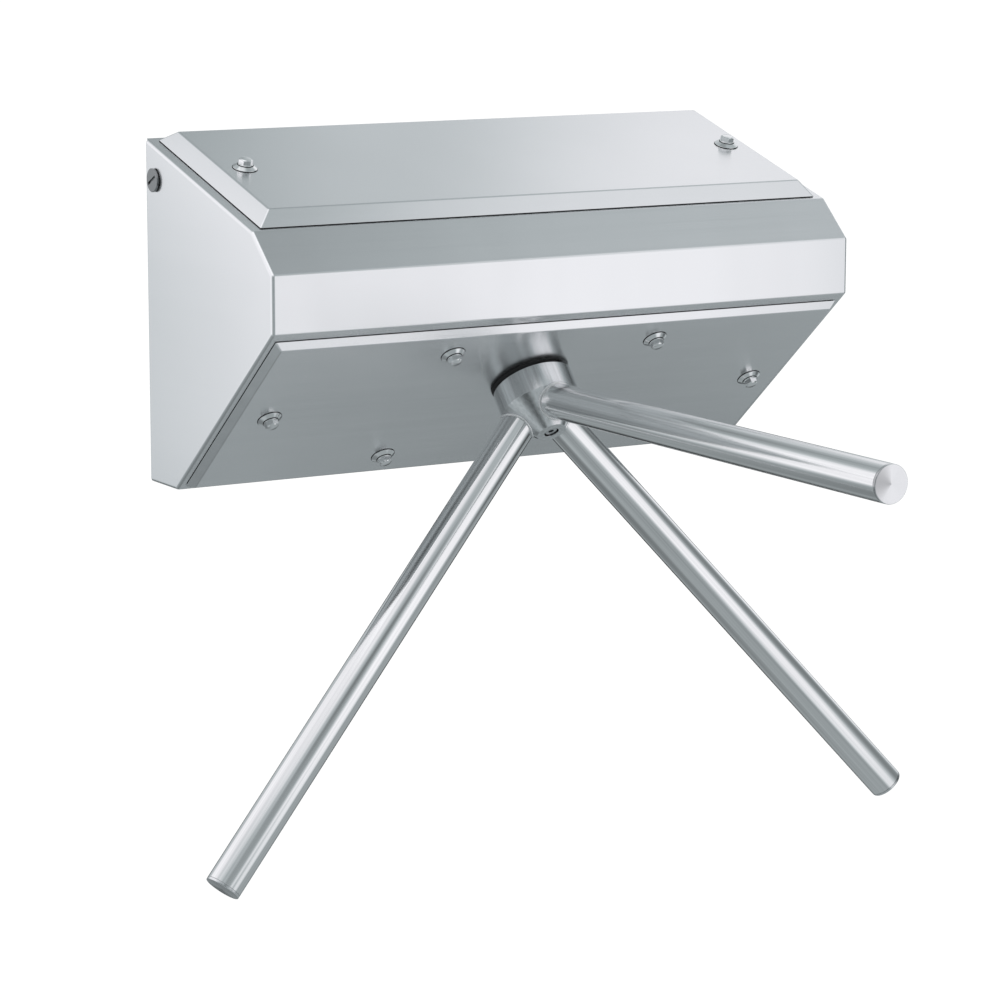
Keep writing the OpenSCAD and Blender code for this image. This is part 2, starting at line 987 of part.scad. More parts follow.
module damper_pinion() {
    tooth_turn = 90 + 180 / pinion_teeth;
    color(zinc)
        on_hub()
            translate([0, -gear_centres, 0]) {
                translate([0, 0, gear_end])
                    linear_extrude(wheel_t)
                        rotate(tooth_turn)
                            polygon(gear_points(pinion_teeth));
                translate([0, 0, rear_out - damper_grip])
                    cylinder(r = pinion_shaft_r, h = gear_h - rear_out + damper_grip);
            }
}

module shaft_sleeves() {
    color(zinc)
        on_hub() {
            translate([0, 0, cam_h])
                tube(shaft_r + collar_step, shaft_r + fit, sleeve_len);
            translate([0, 0, rear_bearing_h])
                tube(shaft_r + collar_step, shaft_r + fit, gear_end - rear_bearing_h);
        }
}

module shaft_circlip() {
    color(zinc)
        on_hub()
            translate([0, 0, rear_bearing_end - clip_t])
                difference() {
                    tube(shaft_r - clip_depth + clip_w, shaft_r - clip_depth + fit,
                        clip_t - fit);
                    translate([-clip_w, 0, -cut])
                        cube([2 * clip_w, shaft_r + clip_w, clip_t + 2 * cut]);
                }
}

// Bearings
module ball_track() {
    translate([0, 0, bearing_w / 2])
        rotate_extrude()
            translate([ball_ring_r, 0])
                circle(r = ball_r + ball_gap);
}

module bearing_inner(height) {
    color(bright)
        on_hub()
            translate([0, 0, height - bearing_w])
                difference() {
                    tube(ball_ring_r - race_half, shaft_r + fit, bearing_w);
                    ball_track();
                }
}

module bearing_outer(height) {
    color(bright)
        on_hub()
            translate([0, 0, height - bearing_w])
                difference() {
                    tube(bearing_r, ball_ring_r + race_half, bearing_w);
                    ball_track();
                }
}

module bearing_ball_set(height) {
    color(bright)
        on_hub()
            translate([0, 0, height - bearing_w / 2]) {
                difference() {
                    translate([0, 0, -cage_w / 2])
                        tube(ball_ring_r + cage_half, ball_ring_r - cage_half, cage_w);
                    for (i = [0:bearing_balls - 1])
                        rotate([0, 90, i * 360 / bearing_balls])
                            translate([0, 0, ball_ring_r - ball_r])
                                cylinder(r = ball_r + ball_gap, h = 2 * ball_r);
                }
                for (i = [0:bearing_balls - 1])
                    rotate([0, 0, i * 360 / bearing_balls])
                        translate([ball_ring_r, 0, 0])
                            sphere(r = ball_r);
            }
}

module front_bearing_inner() {
    bearing_inner(front_bearing_h);
}

module rear_bearing_inner() {
    bearing_inner(rear_bearing_h);
}

module front_bearing_outer() {
    bearing_outer(front_bearing_h);
}

module rear_bearing_outer() {
    bearing_outer(rear_bearing_h);
}

module front_bearing_balls() {
    bearing_ball_set(front_bearing_h);
}

module rear_bearing_balls() {
    bearing_ball_set(rear_bearing_h);
}

module housing_screw_places() {
    for (a = [45:90:315])
        rotate([0, 0, a])
            translate([housing_screw_off, 0, 0])
                children();
}

module front_bearing_housing() {
    lip_r = bearing_r - bearing_lip;
    color(alloy)
        on_hub()
            difference() {
                union() {
                    translate([0, 0, front_bearing_h - bearing_w])
                        cylinder(r = housing_r, h = bearing_w + bearing_lip);
                    translate([0, 0, plate_in - flange_t])
                        cylinder(r = flange_r, h = flange_t);
                }
                translate([0, 0, front_bearing_h - bearing_w - cut])
                    cylinder(r = bearing_r + fit, h = bearing_w + cut);
                translate([0, 0, front_bearing_h - cut])
                    cylinder(r = lip_r, h = bearing_lip + 2 * cut);
                housing_screw_places()
                    translate([0, 0, plate_in - flange_t - cut])
                        cylinder(r = housing_screw_r + fit, h = flange_t + 2 * cut);
            }
}

module rear_bearing_housing() {
    lip_r = bearing_r - bearing_lip;
    color(alloy)
        on_hub()
            difference() {
                union() {
                    translate([0, 0, rear_bearing_end])
                        cylinder(r = housing_r, h = bearing_w + bearing_lip);
                    translate([0, 0, rear_in])
                        cylinder(r = flange_r, h = flange_t);
                }
                translate([0, 0, rear_bearing_end - cut])
                    cylinder(r = bearing_r + fit, h = bearing_w + cut);
                translate([0, 0, rear_bearing_h - cut])
                    cylinder(r = lip_r, h = bearing_lip + 2 * cut);
                housing_screw_places()
                    translate([0, 0, rear_in - cut])
                        cylinder(r = housing_screw_r + fit, h = flange_t + 2 * cut);
            }
}

// Mechanism plates and their fasteners
module spacer_places() {
    for (p = spacers)
        translate([p.x, p.y, 0])
            children();
}

module pin_places() {
    for (p = [[lever_x, lever_pivot_y], [pawl_x, pawl_y], [pawl_x, -pawl_y]])
        translate([p.x, p.y, 0])
            children();
}

module at_post() {
    translate([post_x + post_half, lever_tip_y, 0])
        children();
}

module front_mechanism_plate() {
    color(alloy)
        on_hub()
            difference() {
                translate([-plate_x, plate_low_y, plate_in])
                    cube([2 * plate_x, plate_top_y - plate_low_y, front_plate_t]);
                translate([0, 0, plate_in - cut]) {
                    cylinder(r = housing_r + fit, h = front_plate_t + 2 * cut);
                    pillar_places()
                        cylinder(r = pillar_screw_r + fit, h = front_plate_t + 2 * cut);
                    spacer_places()
                        cylinder(r = spacer_screw_r + fit, h = front_plate_t + 2 * cut);
                    pin_places()
                        cylinder(r = pin_r + fit, h = front_plate_t / 2 + cut);
                    at_post()
                        cylinder(r = pin_r + fit, h = front_plate_t / 2 + cut);
                    housing_screw_places()
                        cylinder(r = housing_screw_r + fit, h = front_plate_t / 2 + cut);
                }
            }
}

module rear_mechanism_plate() {
    color(alloy)
        on_hub()
            difference() {
                translate([-plate_x, rear_plate_low_y, rear_out])
                    cube([2 * plate_x, plate_top_y - rear_plate_low_y, rear_plate_t]);
                translate([0, 0, rear_out - cut]) {
                    cylinder(r = housing_r + fit, h = rear_plate_t + 2 * cut);
                    spacer_places()
                        cylinder(r = spacer_screw_r + fit, h = rear_plate_t + 2 * cut);
                    pin_places()
                        cylinder(r = pin_r + fit, h = rear_plate_t + 2 * cut);
                    housing_screw_places()
                        cylinder(r = housing_screw_r + fit, h = rear_plate_t + 2 * cut);
                    translate([0, -gear_centres, 0])
                        cylinder(r = pinion_shaft_r + cut, h = rear_plate_t + 2 * cut);
                    damper_screw_places()
                        cylinder(r = damper_screw_r + fit, h = rear_plate_t + 2 * cut);
                }
            }
}

module mounting_pillars() {
    color(zinc)
        on_hub()
            pillar_places()
                translate([0, 0, plate_h])
                    tube(pillar_r, pillar_screw_r + fit, plate_gap);
}

module plate_spacers() {
    color(zinc)
        on_hub()
            spacer_places()
                translate([0, 0, rear_in])
                    tube(spacer_r, spacer_screw_r + fit, plate_space);
}

module mechanism_bolts() {
    color(zinc)
        on_hub() {
            pillar_places() {
                translate([0, 0, plate_in])
                    cylinder(r = pillar_screw_r, h = front_plate_t + plate_gap / 2);
                translate([0, 0, plate_in - bolt_head_h])
                    cylinder(r = bolt_head_r, h = bolt_head_h, $fn = 6);
            }
            spacer_places() {
                translate([0, 0, rear_out])
                    cylinder(r = spacer_screw_r, h = plate_h - rear_out);
                translate([0, 0, rear_out - bolt_head_h])
                    cylinder(r = bolt_head_r, h = bolt_head_h, $fn = 6);
            }
        }
}

module damper_screw_places() {
    for (side = [-1, 1])
        translate([side * (damper_r + damper_ear / 2), -gear_centres, 0])
            children();
}

module mechanism_screws() {
    color(zinc)
        on_hub() {
            housing_screw_places() {
                translate([0, 0, plate_in - flange_t])
                    cylinder(r = housing_screw_r, h = flange_t + front_plate_t / 2);
                translate([0, 0, plate_in - flange_t - housing_screw_r])
                    cylinder(r = housing_screw_head, h = housing_screw_r);
                translate([0, 0, rear_out])
                    cylinder(r = housing_screw_r, h = rear_plate_t + flange_t);
                translate([0, 0, rear_in + flange_t])
                    cylinder(r = housing_screw_head, h = housing_screw_r);
            }
            damper_screw_places() {
                translate([0, 0, rear_out - damper_flange_h])
                    cylinder(r = damper_screw_r, h = rear_plate_t + damper_flange_h);
                translate([0, 0, rear_out - damper_flange_h - damper_screw_r])
                    cylinder(r = housing_screw_head, h = damper_screw_r);
            }
        }
}

module damper_body() {
    color(dark_rubber)
        on_hub()
            difference() {
                union() {
                    translate([0, -gear_centres, rear_out - damper_len])
                        cylinder(r = damper_r, h = damper_len);
                    translate([-damper_flange_x, -gear_centres - damper_r / 2,
                            rear_out - damper_flange_h])
                        cube([2 * damper_flange_x, damper_r, damper_flange_h]);
                }
                translate([0, -gear_centres, rear_out - damper_grip - run])
                    cylinder(r = pinion_shaft_r + fit, h = damper_grip + run + cut);
                damper_screw_places()
                    translate([0, 0, rear_out - damper_flange_h - cut])
                        cylinder(r = damper_screw_r + fit, h = damper_flange_h + 2 * cut);
            }
}

module mechanism_pins() {
    pin_low = rear_out;
    pin_top = plate_in + front_plate_t / 2;
    post_low = lever_h - lever_t - spring_r;
    color(zinc)
        on_hub() {
            pin_places()
                translate([0, 0, pin_low])
                    cylinder(r = pin_r, h = pin_top - pin_low);
            at_post() {
                translate([0, 0, plate_in])
                    cylinder(r = pin_r, h = front_plate_t / 2);
                translate([-post_half, -post_half, post_low])
                    cube([2 * post_half, 2 * post_half, plate_in - post_low]);
                translate([-post_half - spring_nub, 0, lever_h - lever_t / 2])
                    rotate([0, 90, 0])
                        cylinder(r = spring_nub_r, h = spring_nub);
            }
        }
}

// Coil of round wire along +z as one swept tube
coil_rings = 8;
coil_sides = 6;
function coil_centre(r, pitch, t) = [r * cos(360 * t), r * sin(360 * t), pitch * t];
function coil_ring(r, pitch, wire, t) =
    let (lean = atan(pitch / (2 * PI * r)),
        out = [cos(360 * t), sin(360 * t), 0],
        up = [sin(360 * t) * sin(lean), -cos(360 * t) * sin(lean), cos(lean)])
    [for (k = [0:coil_sides - 1])
        coil_centre(r, pitch, t)
            + wire * (cos(360 * k / coil_sides) * out + sin(360 * k / coil_sides) * up)];

module coil(r, wire, curls, length) {
    pitch = (length - 2 * wire) / curls;
    steps = curls * coil_rings;
    rings = [for (i = [0:steps]) coil_ring(r, pitch, wire, i / coil_rings)];
    points = [for (ring = rings) for (p = ring) p];
    sides = [for (i = [0:steps - 1]) for (k = [0:coil_sides - 1])
        let (a = i * coil_sides + k,
            b = i * coil_sides + (k + 1) % coil_sides)
        for (f = [[a, a + coil_sides, b], [b, a + coil_sides, b + coil_sides]]) f];
    start = [for (k = [1:coil_sides - 2]) [0, k, k + 1]];
    last = steps * coil_sides;
    stop = [for (k = [1:coil_sides - 2]) [last, last + k + 1, last + k]];
    echo(coil_gap = pitch * cos(atan(pitch / (2 * PI * r))) - 2 * wire);
    translate([0, 0, wire])
        polyhedron(points, concat(sides, start, stop));
}

module centring_spring() {
    start = lever_x + lever_half + run;
    length = post_x - start - run;
    color(zinc)
        on_hub()
            translate([start, lever_tip_y, lever_h - lever_t / 2])
                rotate([0, 90, 0])
                    coil(spring_r, spring_wire, spring_curls, length);
}

module pawl_springs() {
    color(zinc)
        on_hub()
            for (side = [-1, 1])
                translate([pawl_x, side * pawl_y, pawl_h + run])
                    coil(pawl_spring_r, spring_wire, pawl_spring_curls, pawl_spring_len);
}

// Pawls stand clear of the stop wheel in the free setting
nose_off = stop_r + pawl_clear + pawl_nose_r;
pawl_nose = nose_off * [-cos(pawl_nose_turn), sin(pawl_nose_turn)];
pawl_reach = norm(pawl_nose - [pawl_x, pawl_y]);
pawl_turn = atan2(pawl_nose.y - pawl_y, pawl_nose.x - pawl_x);

module pawl() {
    waist = pawl_boss_r * 0.8;
    translate([pawl_x, pawl_y, pawl_h - pawl_t])
        difference() {
            union() {
                cylinder(r = pawl_boss_r, h = pawl_t);
                rotate([0, 0, pawl_turn]) {
                    linear_extrude(pawl_t)
                        polygon([[0, -waist], [pawl_reach, -pawl_nose_r],
                            [pawl_reach, pawl_nose_r], [0, waist]]);
                    translate([pawl_reach, 0, 0])
                        cylinder(r = pawl_nose_r, h = pawl_t);
                }
            }
            translate([0, 0, -cut])
                cylinder(r = pin_r + fit, h = pawl_t + 2 * cut);
        }
}

module entry_pawl() {
    color(bronze)
        on_hub()
            pawl();
}

module exit_pawl() {
    color(bronze)
        on_hub()
            mirror([0, 1, 0])
                pawl();
}

module centring_lever() {
    low = lever_h - lever_t;
    color(bronze)
        on_hub()
            difference() {
                union() {
                    for (y = [lever_pivot_y, lever_tip_y])
                        translate([lever_x, y, low])
                            cylinder(r = lever_half, h = lever_t);
                    translate([lever_x - lever_half, lever_pivot_y, low])
                        cube([2 * lever_half, lever_tip_y - lever_pivot_y, lever_t]);
                    translate([lever_x + lever_half / 2, lever_tip_y, lever_h - lever_t / 2])
                        rotate([0, 90, 0])
                            cylinder(r = spring_nub_r, h = lever_half / 2 + spring_nub);
                }
                translate([lever_x, lever_pivot_y, low - cut])
                    cylinder(r = pin_r + fit, h = lever_t + 2 * cut);
                translate([lever_x, 0, low - cut])
                    cylinder(r = roller_pin_r + fit, h = lever_t + 2 * cut);
            }
}

module centring_roller() {
    color(bright)
        on_hub()
            translate([lever_x, 0, cam_h - roller_w])
                tube(roller_r, roller_pin_r + fit, roller_w);
}

module roller_pin() {
    color(zinc)
        on_hub()
            translate([lever_x, 0, lever_h - lever_t])
                cylinder(r = roller_pin_r, h = cam_h - lever_h + lever_t);
}

left_side_panel();
right_side_panel();
front_panel();
back_plate();
floor_plate();
top_flanges();
under_flanges();
top_cover();
under_cover();
top_cover_seal();
under_cover_seal();
cover_screws();
cover_screw_collars();
cover_standoffs();
blanking_plugs();
plug_seals();
plug_locknuts();
hub_seal();
front_mechanism_plate();
rear_mechanism_plate();
mounting_pillars();
mechanism_bolts();
plate_spacers();
front_bearing_housing();
rear_bearing_housing();
mechanism_screws();
front_bearing_outer();
rear_bearing_outer();
damper_body();
mechanism_pins();
pawl_springs();
centring_spring();
main_shaft();
hub_head();
front_arm();
left_arm();
right_arm();
front_arm_cap();
left_arm_cap();
right_arm_cap();
arm_root_plugs();
arm_set_screws();
hub_screw();
shaft_keys();
centring_cam();
stop_wheel();
drive_gear();
front_bearing_inner();
rear_bearing_inner();
shaft_sleeves();
shaft_circlip();
damper_pinion();
entry_pawl();
exit_pawl();
centring_lever();
centring_roller();
roller_pin();
front_bearing_balls();
rear_bearing_balls();
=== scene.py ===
"""Looks of a wall-mounted three-arm turnstile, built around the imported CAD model."""
import math
from collections import defaultdict

import bmesh
import bpy
from mathutils import Matrix, Vector

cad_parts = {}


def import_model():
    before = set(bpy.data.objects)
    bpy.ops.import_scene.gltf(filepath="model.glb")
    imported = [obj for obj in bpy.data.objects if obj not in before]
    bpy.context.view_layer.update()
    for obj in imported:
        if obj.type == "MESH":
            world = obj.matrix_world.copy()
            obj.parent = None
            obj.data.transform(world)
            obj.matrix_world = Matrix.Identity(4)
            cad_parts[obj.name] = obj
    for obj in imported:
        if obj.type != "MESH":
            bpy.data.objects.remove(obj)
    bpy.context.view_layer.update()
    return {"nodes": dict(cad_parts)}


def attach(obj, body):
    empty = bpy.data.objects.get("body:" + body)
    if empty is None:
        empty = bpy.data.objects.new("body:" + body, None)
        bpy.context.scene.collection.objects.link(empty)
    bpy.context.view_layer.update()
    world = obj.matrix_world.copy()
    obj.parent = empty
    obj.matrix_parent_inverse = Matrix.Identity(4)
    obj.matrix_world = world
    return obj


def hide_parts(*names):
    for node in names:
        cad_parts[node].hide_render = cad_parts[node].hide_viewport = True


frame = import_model()
scene = bpy.context.scene
NODES = frame["nodes"]

# Sizes of the body in metres, in the shared frame
BODY_W = 0.700
BODY_D = 0.290
FLOOR_D = 0.064
CHAMFER_D = 0.044
CHAMFER_H = 0.040
FRONT_H = 0.060
TOP_SLOPE = math.radians(17)
UNDER_SLOPE = math.radians(40)
SHEET = 0.0025
FOLD_R = 0.0036

# Width of the flanges round the two openings, down the slope and at the ends
TOP_LIP = 0.040
UNDER_LIP = 0.066
END_LIP = 0.070

# Covers: a cover's back and front are measured down the slope, from the slope's upper edge at the top
# and from its front edge at the under side
SEAL_T = 0.0015
TOP_W = 0.676
TOP_H = 0.0155
TOP_BACK = 0.008
TOP_FRONT_GAP = 0.004
UNDER_W = 0.684
UNDER_H = 0.0075
UNDER_FRONT = 0.012
UNDER_BACK_GAP = 0.007

# Cover screws: CONE_H is the height of the dressed collar, and COLLAR_H that of the solid one
SIDE_SCREW_IN = 0.052
MIDDLE_SCREW_X = 0.124
MIDDLE_SCREW_IN = 0.039
COLLAR_R = 0.013
COLLAR_H = 0.003
CONE_H = 0.0037
HEX_FLATS = 0.013
HEX_H = 0.007

# Blanking plugs
PLUG_R = 0.0125
PLUG_BACK = 0.022
PLUG_DOWN = 0.042

# Hub and arms: heights are measured from the under face along the hub's axis
HUB_DOWN = 0.116
DRUM_R = 0.044
DRUM_BACK = 0.0125
DRUM_FRONT = 0.040
APEX_H = 0.0273
ARM_R = 0.019
ARM_LEN = 0.625
CAP_T = 0.003
ARM_TURNS = {"front_arm": 0, "left_arm": 120, "right_arm": 240}

# Sizes and places that follow. CORNERS are (y, z), from the upper rear edge round to the lower one.
HALF_X = BODY_W / 2
RISE = (BODY_D - CHAMFER_D) * math.tan(TOP_SLOPE)
DROP = (BODY_D - FLOOR_D) * math.tan(UNDER_SLOPE)
TOP_Z = (RISE + CHAMFER_H + FRONT_H + DROP) / 2
FOLD_Z = DROP - TOP_Z
CORNERS = [
    (0.0, TOP_Z),
    (CHAMFER_D - BODY_D, FOLD_Z + FRONT_H + CHAMFER_H),
    (-BODY_D, FOLD_Z + FRONT_H),
    (-BODY_D, FOLD_Z),
    (-FLOOR_D, -TOP_Z),
    (0.0, -TOP_Z),
]
TOP_FRONT = (BODY_D - CHAMFER_D) / math.cos(TOP_SLOPE) - TOP_FRONT_GAP
UNDER_BACK = (BODY_D - FLOOR_D) / math.cos(UNDER_SLOPE) - UNDER_BACK_GAP
SIDE_SCREW_X = HALF_X - SIDE_SCREW_IN
TOP_SCREWS = [(side * SIDE_SCREW_X, (TOP_BACK + TOP_FRONT) / 2) for side in (-1, 1)]
UNDER_SCREWS = [
    (side * x, down)
    for x, down in (
        (SIDE_SCREW_X, (UNDER_FRONT + UNDER_BACK) / 2),
        (MIDDLE_SCREW_X, UNDER_FRONT + MIDDLE_SCREW_IN),
        (MIDDLE_SCREW_X, UNDER_BACK - MIDDLE_SCREW_IN),
    )
    for side in (-1, 1)
]


def frame_of(y, z, tilt):
    """The frame of a sloping face: its Z looks out of the face, and its -Y down the slope."""
    return Matrix.Translation((0, y, z)) @ Matrix.Rotation(tilt, 4, "X")


ON_TOP = frame_of(0, TOP_Z, TOP_SLOPE)
ON_UNDER = frame_of(-BODY_D, FOLD_Z, math.pi - UNDER_SLOPE)
ON_HUB = frame_of(
    -BODY_D + HUB_DOWN * math.cos(UNDER_SLOPE),
    FOLD_Z - HUB_DOWN * math.sin(UNDER_SLOPE),
    math.pi - UNDER_SLOPE,
)


def on_arm(turn):
    """The frame of the arm that stands at turn degrees round the hub: its Z runs along the arm."""
    return (
        ON_HUB
        @ Matrix.Rotation(math.radians(turn), 4, "Z")
        @ Matrix.Translation((0, 0, APEX_H))
        @ Matrix.Rotation(-(math.pi / 2 - UNDER_SLOPE), 4, "X")
    )


# Materials: what all metals have in common. Marks and clouds run between a low and a high noise
# value, and the stops of the shade painted in inner corners are pairs of openness and brightness.
MARKS_LOW, MARKS_HIGH = 0.32, 0.68
CLOUD_LOW, CLOUD_HIGH = 0.35, 0.62
BROAD_SHARE = 0.07
SMOOTHEST = 0.02
MARK_DEPTH = 0.00003
PAINTED_SHADE_STOPS = [(0.25, 0.22), (0.8, 1.0)]


def node(tree, kind, **values):
    """A new node whose sockets and settings take the values given by name."""
    n = tree.nodes.new(kind)
    for key, value in values.items():
        if key in n.inputs:
            n.inputs[key].default_value = value
        else:
            setattr(n, key, value)
    return n


def ramp(tree, fac, stops):
    """A ramp whose stops are pairs of a place and a grey or a colour."""
    n = tree.nodes.new("ShaderNodeValToRGB")
    elements = n.color_ramp.elements
    while len(elements) < len(stops):
        elements.new(1.0)
    for element, (pos, col) in zip(elements, stops):
        element.position = pos
        element.color = (col, col, col, 1.0) if isinstance(col, (int, float)) else (*col, 1.0)
    tree.links.new(fac, n.inputs["Fac"])
    return n.outputs["Color"]


def empty_material(name):
    """A material that holds only its output node."""
    mat = bpy.data.materials.new(name)
    mat.use_nodes = True
    tree = mat.node_tree
    tree.nodes.clear()
    return mat, tree, tree.nodes.new("ShaderNodeOutputMaterial")


def new_material(name):
    mat, tree, out = empty_material(name)
    shader = tree.nodes.new("ShaderNodeBsdfPrincipled")
    tree.links.new(shader.outputs["BSDF"], out.inputs["Surface"])
    return mat, tree, shader


def mesh_vector(tree, name):
    """A vector that add_piece stored on the mesh."""
    return node(tree, "ShaderNodeAttribute", attribute_name=name).outputs["Vector"]


def noise_at(tree, coord, stretch, detail=3.0, rough=0.6):
    mapping = node(tree, "ShaderNodeMapping")
    mapping.inputs["Scale"].default_value = stretch
    tree.links.new(coord, mapping.inputs["Vector"])
    n = node(tree, "ShaderNodeTexNoise", Scale=1.0, Detail=detail, Roughness=rough)
    tree.links.new(mapping.outputs["Vector"], n.inputs["Vector"])
    return n.outputs["Fac"]


def math_node(tree, operation, *values):
    n = node(tree, "ShaderNodeMath", operation=operation)
    for value, socket in zip(values, n.inputs):
        if isinstance(value, (int, float)):
            socket.default_value = value
        else:
            tree.links.new(value, socket)
    return n.outputs[0]


def times(tree, a, b):
    """One colour multiplied by another."""
    mix = node(tree, "ShaderNodeMix", data_type="RGBA", blend_type="MULTIPLY")
    mix.inputs["Factor"].default_value = 1.0
    tree.links.new(a, mix.inputs[6])
    tree.links.new(b, mix.inputs[7])
    return mix.outputs[2]


def smear(tree, shader, aniso, over):
    """Stretches the reflections in the direction over the marks."""
    turned = node(tree, "ShaderNodeVectorTransform", vector_type="VECTOR",
                  convert_from="OBJECT", convert_to="WORLD")
    tree.links.new(over, turned.inputs["Vector"])
    tree.links.new(turned.outputs["Vector"], shader.inputs["Tangent"])
    shader.inputs["Anisotropic"].default_value = aniso


def metal(name, base, rough, grain, aniso=0.0, across=None, bump=0.25, mottling=0.03, spread=0.04,
          edge=0.0, patches=(7.0, 7.0, 7.0), stain=0.03, local=False, lean=0.0, painted_shade_reach=0.0):
    """Brushed or turned metal.

    grain is the noise frequency per metre on each axis: a small number runs along the marks.
    across is the direction over the marks, in which brushed metal smears its reflections. With
    local, this direction and the texture's coordinates come from the mesh. lean turns the grain
    about X, edge is the radius that the shading gives to edges, and painted_shade_reach is how far
    from inner corners the colour is darkened: painted shade where light is blocked.
    """
    mat, tree, shader = new_material(name)
    link = tree.links.new
    if local:
        coord = mesh_vector(tree, "local_place")
    else:
        coord = node(tree, "ShaderNodeTexCoord").outputs["Object"]
    if lean:
        leaning = node(tree, "ShaderNodeVectorRotate", rotation_type="X_AXIS", Angle=lean)
        link(coord, leaning.inputs["Vector"])
        coord = leaning.outputs["Vector"]
    fine = noise_at(tree, coord, grain, detail=2.0, rough=0.55)
    broad = noise_at(tree, coord, [g * BROAD_SHARE for g in grain])
    cloud = noise_at(tree, coord, patches, rough=0.5)
    marks = math_node(tree, "MULTIPLY", math_node(tree, "ADD", fine, broad), 0.5)
    dark = [c * (1 - mottling) for c in base]
    light = [min(1.0, c * (1 + mottling)) for c in base]
    tone = ramp(tree, marks, [(MARKS_LOW, dark), (MARKS_HIGH, light)])
    dirt = ramp(tree, cloud, [(CLOUD_LOW, 1.0 - stain), (CLOUD_HIGH, 1.0)])
    colour = times(tree, tone, dirt)
    # Painted shade: ambient occlusion darkens the colour in inner corners and creases, where shade
    # falls.
    if painted_shade_reach:
        openness = node(tree, "ShaderNodeAmbientOcclusion", samples=4, Distance=painted_shade_reach)
        colour = times(tree, colour, ramp(tree, openness.outputs["AO"], PAINTED_SHADE_STOPS))
    link(colour, shader.inputs["Base Color"])
    smooth = max(SMOOTHEST, rough - spread)
    gloss = ramp(tree, marks, [(MARKS_LOW, smooth), (MARKS_HIGH, rough + spread)])
    link(gloss, shader.inputs["Roughness"])
    shader.inputs["Metallic"].default_value = 1.0
    if local:
        smear(tree, shader, aniso, mesh_vector(tree, "over_marks"))
    elif across:
        over = node(tree, "ShaderNodeCombineXYZ", X=across[0], Y=across[1], Z=across[2])
        smear(tree, shader, aniso, over.outputs["Vector"])
    bumps = node(tree, "ShaderNodeBump", Strength=bump, Distance=MARK_DEPTH)
    link(fine, bumps.inputs["Height"])
    if edge:
        rounded = node(tree, "ShaderNodeBevel", samples=4, Radius=edge)
        link(rounded.outputs["Normal"], bumps.inputs["Normal"])
    link(bumps.outputs["Normal"], shader.inputs["Normal"])
    return mat


def even(grain):
    """The same grain on all three axes."""
    return (grain, grain, grain)


# Rubber and paint: grain per metre, and how the shine varies over it
DULL_GRAIN = 900.0
DULL_WIDE_SHARE = 0.03
DULL_LOW, DULL_HIGH = 0.30, 0.70
DULL_SPREAD = 0.08
DULL_DEPTH = 0.00005


def dull(name, base, rough, speckle=0.12, specular=0.35):
    """Rubber or paint with an even fine texture."""
    mat, tree, shader = new_material(name)
    link = tree.links.new
    coord = node(tree, "ShaderNodeTexCoord").outputs["Object"]
    fine = noise_at(tree, coord, even(DULL_GRAIN))
    wide = noise_at(tree, coord, even(DULL_GRAIN * DULL_WIDE_SHARE))
    dark = [c * (1 - speckle) for c in base]
    light = [min(1.0, c * (1 + speckle)) for c in base]
    link(ramp(tree, wide, [(DULL_LOW, dark), (DULL_HIGH, light)]), shader.inputs["Base Color"])
    gloss = ramp(tree, fine, [(DULL_LOW, rough - DULL_SPREAD), (DULL_HIGH, rough + DULL_SPREAD)])
    link(gloss, shader.inputs["Roughness"])
    shader.inputs["Specular IOR Level"].default_value = specular
    bumps = node(tree, "ShaderNodeBump", Strength=0.3, Distance=DULL_DEPTH)
    link(fine, bumps.inputs["Height"])
    link(bumps.outputs["Normal"], shader.inputs["Normal"])
    return mat


STEEL = (0.87, 0.875, 0.885)
ALONG_X = (4.0, 700.0, 700.0)
ALONG_Y = (700.0, 4.0, 700.0)
HUB_AXIS = (0.0, -math.sin(UNDER_SLOPE), -math.cos(UNDER_SLOPE))

panel_mat = metal("panel_steel_brushed", STEEL, rough=0.24, grain=ALONG_X, aniso=0.75,
                  across=(0, 1, 0.35), bump=0.06, mottling=0.012, spread=0.02,
                  patches=(9.0, 1.5, 1.5))
side_mat = metal("side_steel_brushed", STEEL, rough=0.24, grain=ALONG_Y, aniso=0.4,
                 across=(0, 0, 1), bump=0.02, mottling=0.006, spread=0.01, stain=0.012)
top_mat = metal("top_cover_brushed", STEEL, rough=0.22, grain=ALONG_X, aniso=0.75,
                across=(0, 1, 0), bump=0.05, mottling=0.016, spread=0.02, stain=0.02)
under_mat = metal("under_cover_brushed", STEEL, rough=0.22, grain=ALONG_X, aniso=0.85,
                  across=(0, 1, 0), bump=0.08, mottling=0.025, spread=0.03)
# The arm, hub, cover screw and plug metals darken their colour near inner corners: painted shade.
arm_mat = metal("arm_steel_satin", (0.92, 0.925, 0.935), rough=0.13, grain=(420.0, 420.0, 2.5),
                aniso=0.6, bump=0.12, mottling=0.22, spread=0.02, local=True, painted_shade_reach=0.03)
cap_mat = metal("arm_cap_turned", (0.81, 0.815, 0.825), rough=0.22, grain=(900.0, 900.0, 4.0),
                aniso=0.9, bump=0.08, spread=0.02, local=True)
hub_mat = metal("hub_turned_satin", (0.76, 0.77, 0.78), rough=0.16, grain=(300.0, 300.0, 5.0),
                aniso=0.85, across=HUB_AXIS, bump=0.10, mottling=0.16, spread=0.02, edge=0.0005,
                lean=UNDER_SLOPE, painted_shade_reach=0.012)
bead_mat = metal("arm_root_edge", (0.96, 0.96, 0.965), rough=0.50, grain=even(120.0), bump=0.1)
polished_mat = metal("polished_steel", (0.90, 0.905, 0.91), rough=0.05, grain=even(90.0),
                     bump=0.04, spread=0.02, edge=0.0003, painted_shade_reach=0.006)
socket_mat = metal("socket_screw_steel", (0.62, 0.63, 0.64), rough=0.18, grain=even(200.0),
                   edge=0.0003)
plated_mat = metal("zinc_plated_steel", (0.60, 0.62, 0.64), rough=0.34, grain=even(200.0),
                   edge=0.0004)
